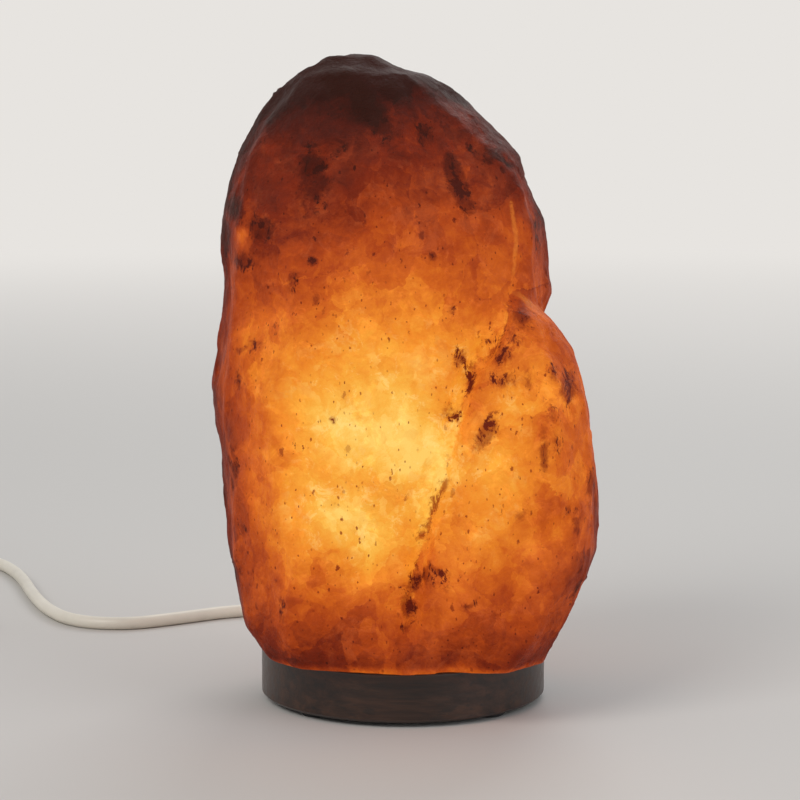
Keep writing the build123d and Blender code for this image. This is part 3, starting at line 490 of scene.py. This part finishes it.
CREAM = (0.78, 0.73, 0.63)
cord_pvc = plastic("cord_pvc", CREAM, 0.42, 420.0, 0.00010)
white_plastic = plastic("switch_plastic", (0.80, 0.77, 0.70), 0.22)
rocker_white = plastic("rocker_plastic", (0.74, 0.71, 0.64), 0.20)
plug_white = plastic("plug_pvc", CREAM, 0.38)
holder_white = plastic("holder_plastic", (0.80, 0.79, 0.75), 0.34)
nickel = metal("nickel", (0.80, 0.78, 0.72), 0.18, (1.0, 1.0, 6.0))
zinc = metal("zinc_steel", (0.62, 0.63, 0.65), 0.30)
brass = metal("brass", (0.80, 0.60, 0.26), 0.24)
for node, material in {
    "wood_base": wood(),
    "rubber_feet": plastic("foot_rubber", (0.018, 0.018, 0.019), 0.72, 500.0, 0.0002),
    "rock_plugs": plastic("nylon", (0.62, 0.61, 0.56), 0.5),
    "base_screws": zinc,
    "spring_clip": metal("spring_steel", (0.58, 0.60, 0.63), 0.26, (1.0, 6.0, 1.0)),
    "nipple": zinc,
    "hex_nut": zinc,
    "cord_grip": holder_white,
    "grip_screw": brass,
    "holder_cap": holder_white,
    "holder_body": holder_white,
    "contact_carrier": plastic("carrier_plastic", (0.10, 0.045, 0.022), 0.35),
    "centre_contact": brass,
    "side_contact": brass,
    "terminal_screws": brass,
    "core_wires": plastic("wire_sleeve", (0.05, 0.12, 0.45), 0.4),
    "cord_inner": cord_pvc,
    "switch_bottom": white_plastic,
    "switch_top": white_plastic,
    "switch_rocker": rocker_white,
    "rocker_pin": zinc,
    "switch_contacts": brass,
    "switch_screws": zinc,
    "plug_body": plug_white,
    "plug_pins": nickel,
    "pin_sleeves": plastic("sleeve_plastic", (0.015, 0.015, 0.016), 0.45),
    "bulb_contact": metal("solder", (0.55, 0.56, 0.57), 0.42),
    "bulb_insulator": plastic("black_glass", (0.008, 0.008, 0.010), 0.08, 300.0),
    "bulb_cap": nickel,
    "bulb_glass": clear_glass("bulb_glass", (1.0, 0.98, 0.95), 0.02),
    "bulb_stem": clear_glass("stem_glass", (0.96, 0.97, 0.97), 0.05),
    "bulb_leads": metal("copper", (0.78, 0.42, 0.26), 0.3),
    "bulb_filament": hot_wire(),
}.items():
    paint(node, material)


# ---------------------------------------------------------------- crystal
# Stains seen on the crystal's front: across, up, half-width, half-height, lean to the right
# in degrees, strength.
STAINS = [
    (-0.0130, 0.2280, 0.0045, 0.0130, -38, 1.6), (-0.0250, 0.2400, 0.0140, 0.0060, 75, 1.3),
    (-0.0050, 0.2370, 0.0100, 0.0045, 70, 0.7), (0.0080, 0.2190, 0.0030, 0.0050, -30, 0.9),
    (-0.0245, 0.2105, 0.0030, 0.0075, 25, 0.6), (-0.0330, 0.2035, 0.0055, 0.0100, 0, 1.2),
    (-0.0370, 0.1950, 0.0035, 0.0060, 0, 0.6), (0.0205, 0.2010, 0.0030, 0.0100, -18, 1.7),
    (0.0240, 0.1930, 0.0040, 0.0040, 0, 0.8), (0.0510, 0.1840, 0.0040, 0.0110, 0, 0.6),
    (-0.0525, 0.1850, 0.0055, 0.0045, 0, 1.2), (-0.0635, 0.1905, 0.0050, 0.0045, 0, 1.3),
    (-0.0600, 0.1715, 0.0060, 0.0035, 0, 1.0), (-0.0680, 0.1800, 0.0025, 0.0070, 0, 1.1),
    (-0.0330, 0.1730, 0.0019, 0.0017, 0, 1.3), (0.0107, 0.1747, 0.0017, 0.0019, 0, 1.2),
    (-0.0405, 0.1660, 0.0030, 0.0060, 10, 0.7), (-0.0315, 0.1590, 0.0025, 0.0035, 0, 0.6),
    (0.0440, 0.1535, 0.0045, 0.0050, -20, 0.9), (0.0400, 0.1475, 0.0065, 0.0055, 30, 0.35),
    (0.0345, 0.1405, 0.0080, 0.0050, 60, 0.55), (0.0180, 0.1555, 0.0022, 0.0035, 0, 0.7),
    (0.0212, 0.1385, 0.0028, 0.0045, 10, 0.85), (0.0240, 0.1290, 0.0025, 0.0060, 5, 0.75),
    (0.0175, 0.1178, 0.0050, 0.0040, 20, 0.75), (0.0367, 0.1305, 0.0065, 0.0050, 0, 0.6),
    (0.0454, 0.1305, 0.0020, 0.0040, 0, 0.8), (0.0543, 0.1330, 0.0022, 0.0045, -10, 0.7),
    (0.0604, 0.1266, 0.0036, 0.0055, 0, 1.3), (0.0295, 0.1103, 0.0030, 0.0080, 28, 0.95),
    (0.0540, 0.1200, 0.0035, 0.0090, 0, 0.5), (0.0511, 0.1033, 0.0017, 0.0065, 0, 1.0),
    (0.0560, 0.1100, 0.0022, 0.0070, 5, 0.6), (0.0145, 0.0930, 0.0020, 0.0050, 25, 0.9),
    (0.0040, 0.0560, 0.0020, 0.0045, 15, 1.0), (0.0015, 0.0480, 0.0025, 0.0055, 0, 1.2),
    (0.0010, 0.0400, 0.0018, 0.0025, 0, 0.7), (0.0430, 0.0830, 0.0030, 0.0045, 30, 0.5),
    (0.0340, 0.0840, 0.0020, 0.0030, -30, 0.5), (0.0640, 0.0780, 0.0035, 0.0045, 0, 0.5),
    (0.0700, 0.0900, 0.0030, 0.0080, 0, 0.9), (-0.0640, 0.0520, 0.0025, 0.0075, 0, 1.0),
    (-0.0620, 0.1275, 0.0015, 0.0035, 0, 1.0), (-0.0610, 0.0700, 0.0020, 0.0060, 0, 0.6),
    (-0.0390, 0.1067, 0.0030, 0.0050, 0, 0.5), (0.0240, 0.0490, 0.0015, 0.0040, 65, 0.8),
    (-0.0257, 0.1158, 0.0015, 0.0022, -20, 1.0), (-0.0068, 0.1020, 0.0040, 0.0020, 0, 0.4),
]
# Clear and cloudy places in the glow: across, up, half-width, half-height, metres of salt fewer (or more).
CLEARINGS = [
    (0.000, 0.101, 0.010, 0.009, 0.004), (-0.014, 0.112, 0.012, 0.008, 0.008),
    (-0.032, 0.118, 0.014, 0.012, 0.014), (-0.022, 0.083, 0.014, 0.012, 0.016),
    (-0.006, 0.066, 0.020, 0.012, 0.008), (-0.006, 0.093, 0.010, 0.004, -0.006),
    (-0.066, 0.100, 0.010, 0.030, -0.014), (-0.060, 0.190, 0.012, 0.030, 0.010),
    (0.026, 0.120, 0.010, 0.016, -0.014), (0.044, 0.183, 0.007, 0.012, 0.015),
    (0.052, 0.060, 0.016, 0.020, 0.010), (0.050, 0.095, 0.020, 0.022, 0.009),
    (0.030, 0.160, 0.016, 0.010, -0.006), (-0.030, 0.075, 0.016, 0.014, 0.006),
    (-0.0604, 0.181, 0.0026, 0.0036, 0.030), (0.004, 0.064, 0.010, 0.030, -0.006),
    (-0.050, 0.140, 0.014, 0.016, 0.007), (0.010, 0.226, 0.022, 0.010, 0.012),
    (-0.045, 0.215, 0.020, 0.016, 0.014), (0.030, 0.212, 0.012, 0.020, 0.008),
    (0.000, 0.205, 0.050, 0.020, 0.008), (0.015, 0.116, 0.007, 0.011, -0.012),
    (0.036, 0.117, 0.008, 0.012, 0.007), (0.041, 0.146, 0.008, 0.009, 0.008),
]
# Painted highlights on bright edges of the front, across and up: beside the shoulder's peak, over its top,
# and along the crease.
HIGHLIGHT_EDGES = [
    [(0.0400, 0.1930), (0.0418, 0.1790), (0.0405, 0.1625)],
    [(0.0405, 0.1625), (0.0480, 0.1560), (0.0545, 0.1510)],
    [(0.0224, 0.1239), (0.0185, 0.1110), (0.0135, 0.0975)],
]
# The crease between the two lumps, across and up, from the shoulder's peak down to the base.
CREASE = [
    (0.0405, 0.1617), (0.0354, 0.1477), (0.0243, 0.1339), (0.0188, 0.1143),
    (0.0133, 0.0945), (0.0079, 0.0767), (0.0043, 0.0621), (0.0025, 0.036),
]


def line_distance(x, z, points):
    """Distance of each point from a polyline in the front plane, and how far along it lies, 0 to 1."""
    best = np.full(x.shape, 1e9)
    along = np.zeros(x.shape)
    count = len(points) - 1
    for index, ((x0, z0), (x1, z1)) in enumerate(zip(points, points[1:])):
        dx, dz = x1 - x0, z1 - z0
        t = np.clip(((x - x0) * dx + (z - z0) * dz) / (dx * dx + dz * dz), 0.0, 1.0)
        distance = np.hypot(x - x0 - t * dx, z - z0 - t * dz)
        nearer = distance < best
        best = np.where(nearer, distance, best)
        along = np.where(nearer, (index + t) / count, along)
    return best, along


def hewn(point, cell, seed, blend):
    """Height of a surface of tilted flats, one to each cell, softened where two meet."""
    q = Vector((point[0], point[1], point[2] * 0.72)) / cell + Vector((seed, seed * 1.7, seed * 0.6))
    distances, centres = noise.voronoi(q)
    heights = []
    for centre in centres[:2]:
        tilt = noise.cell_vector(centre * 7.31) - Vector((0.5, 0.5, 0.5))
        heights.append((q - centre).dot(tilt))
    share = min((distances[1] - distances[0]) / blend, 1.0)
    share = share * share * (3 - 2 * share)
    return (heights[0] * (1 + share) + heights[1] * (1 - share)) / 2


# The holes drilled in the salt, which the skin leaves as they are: radius and top.
BULB_HOLE = (0.0275, 0.1285)
PLUG_HOLE = (0.0056, 0.0555)
# The height of each kind of unevenness.
FACET_HEIGHT = 0.0026
CHIP_HEIGHT = 0.0019
SWELL_HEIGHT = 0.0009
GRIT_HEIGHT = 0.00042
PIT_DEPTH = 0.0008
CREASE_DEPTH = 0.0022
CREASE_WIDTH = 0.0048
SKIN_INSET = 0.0006
# The crystal's foot keeps its height up to here, and the crown is rounded off in its last part.
FOOT_HEIGHTS = (0.0222, 0.0252)
CROWN_HEIGHT = 0.014
CROWN_RADIUS = 0.020
# The lower rim lets more light out: metres of salt fewer, up to this height over the base.
RIM_CLEARING = 0.022
RIM_HEIGHT = 0.0035


def even_grid(source):
    """A node's surface, welded and on an even grid, as a new mesh."""
    welded = bmesh.new()
    welded.from_mesh(source.data)
    bmesh.ops.remove_doubles(welded, verts=welded.verts, dist=1e-5)
    rough_cut = bpy.data.meshes.new("crystal_rough")
    welded.to_mesh(rough_cut)
    welded.free()
    holder = bpy.data.objects.new("crystal_rough", rough_cut)
    scene.collection.objects.link(holder)
    grid = holder.modifiers.new("grid", "REMESH")
    grid.mode = "VOXEL"
    grid.voxel_size = 0.0016
    soften = holder.modifiers.new("soften", "SMOOTH")
    soften.factor = 0.5
    soften.iterations = 7
    depsgraph = bpy.context.evaluated_depsgraph_get()
    mesh = bpy.data.meshes.new_from_object(holder.evaluated_get(depsgraph))
    bpy.data.objects.remove(holder)
    return mesh


def vertex_rows(mesh, kind):
    """A vector of each vertex, such as its place or its normal."""
    rows = np.empty(len(mesh.vertices) * 3)
    mesh.vertices.foreach_get(kind, rows)
    return rows.reshape(-1, 3)


def outer_skin(x, y, z):
    """1 outside, and 0 in the drilled holes."""
    holes = [(0.0, 0.0, *BULB_HOLE)]
    for turn in SCREW_TURNS:
        holes.append((SCREW_CIRCLE * math.cos(turn), SCREW_CIRCLE * math.sin(turn), *PLUG_HOLE))
    skin = np.ones(len(x))
    for across, back, radius, top in holes:
        skin[(np.hypot(x - across, y - back) < radius) & (z < top)] = 0.0
    return skin


def unevenness(row):
    """Flats, chips, swell and grit at a point, and its distance from the next pit."""
    p = Vector(row)
    distances, centres = noise.voronoi(p / 0.013)
    return (
        hewn(p, 0.030, 3.0, 0.22),
        hewn(p, 0.0105, 11.0, 0.30),
        noise.noise(p / 0.045),
        noise.fractal(p / 0.0085, 0.9, 2.1, 3),
        distances[0] if noise.cell(centres[0] * 5.7) > 0.35 else 1.0,
    )


def crystal_relief(place, front, gap, along):
    """How far each point is pushed out: hewn flats, chips, pits and the crease."""
    facets, chips, swell, grit, pits = np.array([unevenness(row) for row in place]).T
    groove = front * (1.0 - smooth_step(0.0, CREASE_WIDTH, gap)) * (0.45 + 0.55 * np.abs(np.sin(along * 9.0)))
    return (
        facets * FACET_HEIGHT
        + chips * CHIP_HEIGHT
        + swell * SWELL_HEIGHT
        + grit * GRIT_HEIGHT
        - PIT_DEPTH * (1.0 - smooth_step(0.05, 0.20, pits))
        - CREASE_DEPTH * groove
        - SKIN_INSET
    )


def pushed_out(place, normal, push):
    """The new places: pushed along the normals, rounded at the crown and kept inside the solid's box."""
    x, y, z = place.T
    move = normal * (push * outer_skin(x, y, z))[:, None]
    move[:, 2] *= smooth_step(*FOOT_HEIGHTS, z)
    moved = place + move
    low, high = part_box("salt_rock")
    near_top = moved[:, 2] > high[2] - 0.002
    crown = moved[near_top, :2].mean(axis=0)
    out = np.minimum(np.hypot(x - crown[0], y - crown[1]) / CROWN_RADIUS, 1.0)
    moved[:, 2] -= smooth_step(high[2] - CROWN_HEIGHT, high[2], z) * (0.0010 + 0.0016 * out**2)
    return np.clip(moved, np.array(low) + 0.0001, np.array(high) - 0.0001)


def stain_strength(x, y, z):
    """How strongly the placed stains show, on the front half alone."""
    stain = np.zeros(len(x))
    for across, up, wide, tall, lean, strength in STAINS:
        cosine, sine = math.cos(math.radians(lean)), math.sin(math.radians(lean))
        beside = (x - across) * cosine - (z - up) * sine
        upward = (x - across) * sine + (z - up) * cosine
        blob = strength * np.exp(-((beside / wide) ** 2 + (upward / tall) ** 2) * 0.9)
        stain = np.maximum(stain, blob * (y < 0.01))
    return stain


def thin_salt(x, y, z):
    """Metres of salt fewer than there are, at the lower rim and at the placed clearings."""
    thin = RIM_CLEARING * (1.0 - smooth_step(BASE_TOP, BASE_TOP + RIM_HEIGHT, z))
    for across, up, wide, tall, strength in CLEARINGS:
        thin += strength * np.exp(-(((x - across) / wide) ** 2 + ((z - up) / tall) ** 2)) * (y < 0.01)
    return thin


def crease_distance(x, z, gap):
    """Metres from the crease, below 0 on its left."""
    heights = [up for across, up in CREASE[::-1]]
    places = [across for across, up in CREASE[::-1]]
    right = (x > np.interp(z, heights, places)) & (z <= CREASE[0][1])
    return np.where(right, 1.0, -1.0) * np.minimum(gap, 0.03)


def make_crystal():
    """The crystal's skin: the frame's lump with its relief, and the layers that its material reads."""
    mesh = even_grid(nodes["salt_rock"])
    mesh.name = "salt_crystal"
    place = vertex_rows(mesh, "co")
    normal = vertex_rows(mesh, "normal")
    x, y, z = place.T
    front = smooth_step(0.1, -0.35, normal[:, 1])
    gap, along = line_distance(x, z, CREASE)
    push = crystal_relief(place, front, gap, along)
    mesh.vertices.foreach_set("co", pushed_out(place, normal, push).ravel())
    gleam = np.full(len(x), 0.02)
    for line in HIGHLIGHT_EDGES:
        gleam = np.minimum(gleam, line_distance(x, z, line)[0])
    for name, values in {
        "stain": stain_strength(x, y, z),
        "thin": thin_salt(x, y, z),
        "relief": (push + SKIN_INSET) / 0.002,
        "crease": crease_distance(x, z, gap),
        "gleam": gleam,
        "facing": front * smooth_step(0.0, -0.012, y),
    }.items():
        layer = mesh.attributes.new(name, "FLOAT", "POINT")
        layer.data.foreach_set("value", values.astype(np.float32))
    mesh.polygons.foreach_set("use_smooth", [True] * len(mesh.polygons))
    mesh.update()
    mesh.materials.clear()
    mesh.materials.append(Salt().finished())
    crystal = bpy.data.objects.new("salt_crystal", mesh)
    scene.collection.objects.link(crystal)
    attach(crystal, "lamp")
    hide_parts("salt_rock")


make_crystal()

# ---------------------------------------------------------------- mains cord
SWITCH_ENTRY = 0.0065
RUN_POINTS = [
    (0.0, 0.0, 0.020), (0.0, 0.0, 0.0145), (0.0, 0.0035, 0.008), (0.0, 0.011, 0.0038),
    (0.0, 0.024, CORD_HEIGHT), (0.0, 0.043, CORD_HEIGHT), (-0.0012, 0.075, CORD_HEIGHT),
    (-0.008, 0.107, CORD_HEIGHT), (-0.024, 0.136, CORD_HEIGHT), (-0.049, 0.150, CORD_HEIGHT),
    (-0.076, 0.145, CORD_HEIGHT), (-0.099, 0.129, CORD_HEIGHT), (-0.121, 0.116, CORD_HEIGHT),
    (-0.145, 0.123, CORD_HEIGHT), (-0.1595, 0.149, CORD_HEIGHT), (-0.1705, 0.183, CORD_HEIGHT),
    (-0.182, 0.227, CORD_HEIGHT), (-0.198, 0.262, CORD_HEIGHT), (-0.2215, 0.2755, CORD_HEIGHT),
    (-0.247, 0.268, CORD_HEIGHT), (-0.259, 0.2455, CORD_HEIGHT), (-0.2604, 0.233, 0.0044),
    (-0.260, 0.221, SWITCH_ENTRY), (-0.260, 0.209, SWITCH_ENTRY),
]
LEAD_POINTS = [
    (-0.260, 0.159, SWITCH_ENTRY), (-0.260, 0.147, SWITCH_ENTRY), (-0.2604, 0.135, 0.0043),
    (-0.260, 0.122, CORD_HEIGHT), (-0.260, 0.110, CORD_HEIGHT),
]
COIL_CENTRE = (-0.223, 0.1045)
COIL_RADIUS = 0.037
COIL_PITCH = 0.0061
COIL_TURNS = 6
COIL_CLIMB = 0.5
COIL_STEPS = 16
COIL_TOP = CORD_HEIGHT + COIL_PITCH
TAIL_POINTS = [
    (-0.260, 0.099, COIL_TOP), (-0.260, 0.089, COIL_TOP), (-0.2614, 0.075, 0.0077),
    (-0.2625, 0.061, 0.00685), (-0.2625, 0.048, 0.00685),
]


def coil_points():
    """Two layers of turns that spiral in, climb and spiral out again."""
    points = []
    middle = COIL_TURNS / 2
    for step in range(COIL_TURNS * COIL_STEPS):
        turn = (step + 0.5) / COIL_STEPS
        radius = COIL_RADIUS - COIL_PITCH * (middle - abs(turn - middle))
        radius /= math.cos(math.pi / COIL_STEPS)
        climbed = min(max((turn - middle) / COIL_CLIMB + 0.5, 0.0), 1.0)
        height = CORD_HEIGHT + COIL_PITCH * climbed**2 * (3 - 2 * climbed)
        angle = math.pi + 2 * math.pi * turn
        points.append((
            COIL_CENTRE[0] + radius * math.cos(angle),
            COIL_CENTRE[1] + radius * math.sin(angle),
            height,
        ))
    return points


def cord_piece(name, points, *stands_for):
    """A cord on one smooth spline."""
    curve = bpy.data.curves.new(name, "CURVE")
    curve.dimensions = "3D"
    curve.bevel_depth = CORD_DIAMETER / 2
    curve.bevel_resolution = 6
    curve.resolution_u = 10
    curve.use_fill_caps = True
    spline = curve.splines.new("NURBS")
    spline.points.add(len(points) - 1)
    for knot, point in zip(spline.points, points):
        knot.co = (*point, 1.0)
    spline.order_u = 3
    spline.use_endpoint_u = True
    curve.materials.append(cord_pvc)
    piece = bpy.data.objects.new(name, curve)
    scene.collection.objects.link(piece)
    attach(piece, "electrics")
    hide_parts(*stands_for)
    return piece


cord_to_switch = cord_piece("cord_to_switch", RUN_POINTS, "cord_run")
cord_to_plug = cord_piece(
    "cord_to_plug", LEAD_POINTS + coil_points() + TAIL_POINTS, "cord_lead", "cord_coil", "cord_tail"
)


# ---------------------------------------------------------------- small turned pieces
RELIEF_START = Vector((-0.2625, 0.052, 0.00685))
RELIEF_LENGTH = 0.021
RELIEF_BEND = Vector((0.00087, 0.0, 0.00068))
RELIEF_RADIUS = 0.0044
RELIEF_TAPER = 0.0014
RELIEF_RIBS = 6
RELIEF_RIB_HEIGHT = 0.00042
ROWS_A_RIB = 8
RELIEF_SIDES = 40
THREAD_PITCH = 0.002822
THREAD_ROOT = 0.00615
THREAD_CREST = 0.00693
CAP_RADIUS = 0.0066
CAP_EDGE = 0.0009
CAP_ROWS = 110
CAP_SIDES = 64


def skin_piece(name, rows, material, body):
    """A closed skin over rows of points, each row a ring round the piece, the first and the last capped."""
    around = len(rows[0])
    faces = [tuple(range(around))[::-1], tuple(range((len(rows) - 1) * around, len(rows) * around))]
    for row in range(len(rows) - 1):
        for step in range(around):
            after = (step + 1) % around
            low, high = row * around, (row + 1) * around
            faces.append((low + step, low + after, high + after, high + step))
    mesh = bpy.data.meshes.new(name)
    mesh.from_pydata([tuple(point) for row in rows for point in row], [], faces)
    mesh.polygons.foreach_set("use_smooth", [len(face) == 4 for face in faces])
    mesh.materials.append(material)
    piece = bpy.data.objects.new(name, mesh)
    scene.collection.objects.link(piece)
    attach(piece, body)
    return piece


def cord_relief():
    """The plug's ribbed, tapered strain relief, along the cord's last bend."""
    rows = []
    count = RELIEF_RIBS * ROWS_A_RIB
    for row in range(count + 1):
        share = row / count
        centre = RELIEF_START + RELIEF_BEND * share**2 + Vector((0.0, RELIEF_LENGTH * share, 0.0))
        rib = RELIEF_RIB_HEIGHT * smooth_step(-0.35, 0.35, math.cos(2 * math.pi * share * RELIEF_RIBS))
        radius = RELIEF_RADIUS - RELIEF_TAPER * share + float(rib)
        ring = []
        for step in range(RELIEF_SIDES):
            turn = 2 * math.pi * step / RELIEF_SIDES
            ring.append(centre + Vector((radius * math.cos(turn), 0.0, radius * math.sin(turn))))
        rows.append(ring[::-1])
    skin_piece("plug_relief", rows, plug_white, "electrics")


def threaded_cap():
    """The bulb's rolled Edison thread, in place of the plain cap."""
    low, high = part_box("bulb_cap")
    across, back = (low[0] + high[0]) / 2, (low[1] + high[1]) / 2
    rows = []
    for row in range(CAP_ROWS + 1):
        height = low[2] + (high[2] - low[2]) * row / CAP_ROWS
        rolled = smooth_step(low[2] + 0.0008, low[2] + 0.0022, height)
        rolled *= 1.0 - smooth_step(high[2] - 0.0042, high[2] - 0.0030, height)
        plain = CAP_RADIUS - CAP_EDGE * (1.0 - smooth_step(low[2], low[2] + 0.0012, height))
        ring = []
        for step in range(CAP_SIDES):
            turn = 2 * math.pi * step / CAP_SIDES
            wave = 0.5 + 0.5 * math.cos(2 * math.pi * (height - low[2]) / THREAD_PITCH - turn)
            rolled_radius = THREAD_ROOT + (THREAD_CREST - THREAD_ROOT) * wave
            radius = float(plain + (rolled_radius - plain) * rolled)
            ring.append(Vector((across + radius * math.cos(turn), back + radius * math.sin(turn), height)))
        rows.append(ring)
    cap = skin_piece("cap_thread", rows, nickel, "bulb")
    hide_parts("bulb_cap")


cord_relief()
threaded_cap()


# ---------------------------------------------------------------- floor and surroundings
BACKGROUND = (0.80, 0.775, 0.745)
FLOOR_TONE = (0.62, 0.60, 0.575)
FLOOR_RADIUS = 20.0
SOFT_LIGHT = (0.93, 0.96, 1.0)
SOFT_STRENGTH = 0.42


def surroundings():
    """A wide pale floor that fades into a plain pale background."""
    mesh = bpy.data.meshes.new("floor")
    disc = bmesh.new()
    bmesh.ops.create_circle(disc, cap_ends=True, segments=96, radius=FLOOR_RADIUS)
    disc.to_mesh(mesh)
    disc.free()
    floor = bpy.data.objects.new("floor", mesh)
    scene.collection.objects.link(floor)
    p = Paint("floor")
    p.set(Base_Color=FLOOR_TONE, Roughness=0.75)
    far = p.span(p.vector("LENGTH", p.place()), 0.6, 2.6)
    plain = p.filled(p.node("ShaderNodeEmission"), Color=BACKGROUND)
    shown = p.blended(p.times(far, p.seen()), p.shader.outputs[0], plain.outputs[0])
    p.plug(shown, p.out.inputs["Surface"])
    mesh.materials.append(p.material)

    world = bpy.data.worlds.new("studio")
    scene.world = world
    p = Paint("studio", world)
    p.tree.nodes.clear()
    soft = p.filled(p.node("ShaderNodeBackground"), Color=SOFT_LIGHT, Strength=SOFT_STRENGTH)
    pale = p.filled(p.node("ShaderNodeBackground"), Color=BACKGROUND)
    lit = p.blended(p.seen(), soft.outputs[0], pale.outputs[0])
    p.plug(lit, p.node("ShaderNodeOutputWorld").inputs["Surface"])


surroundings()
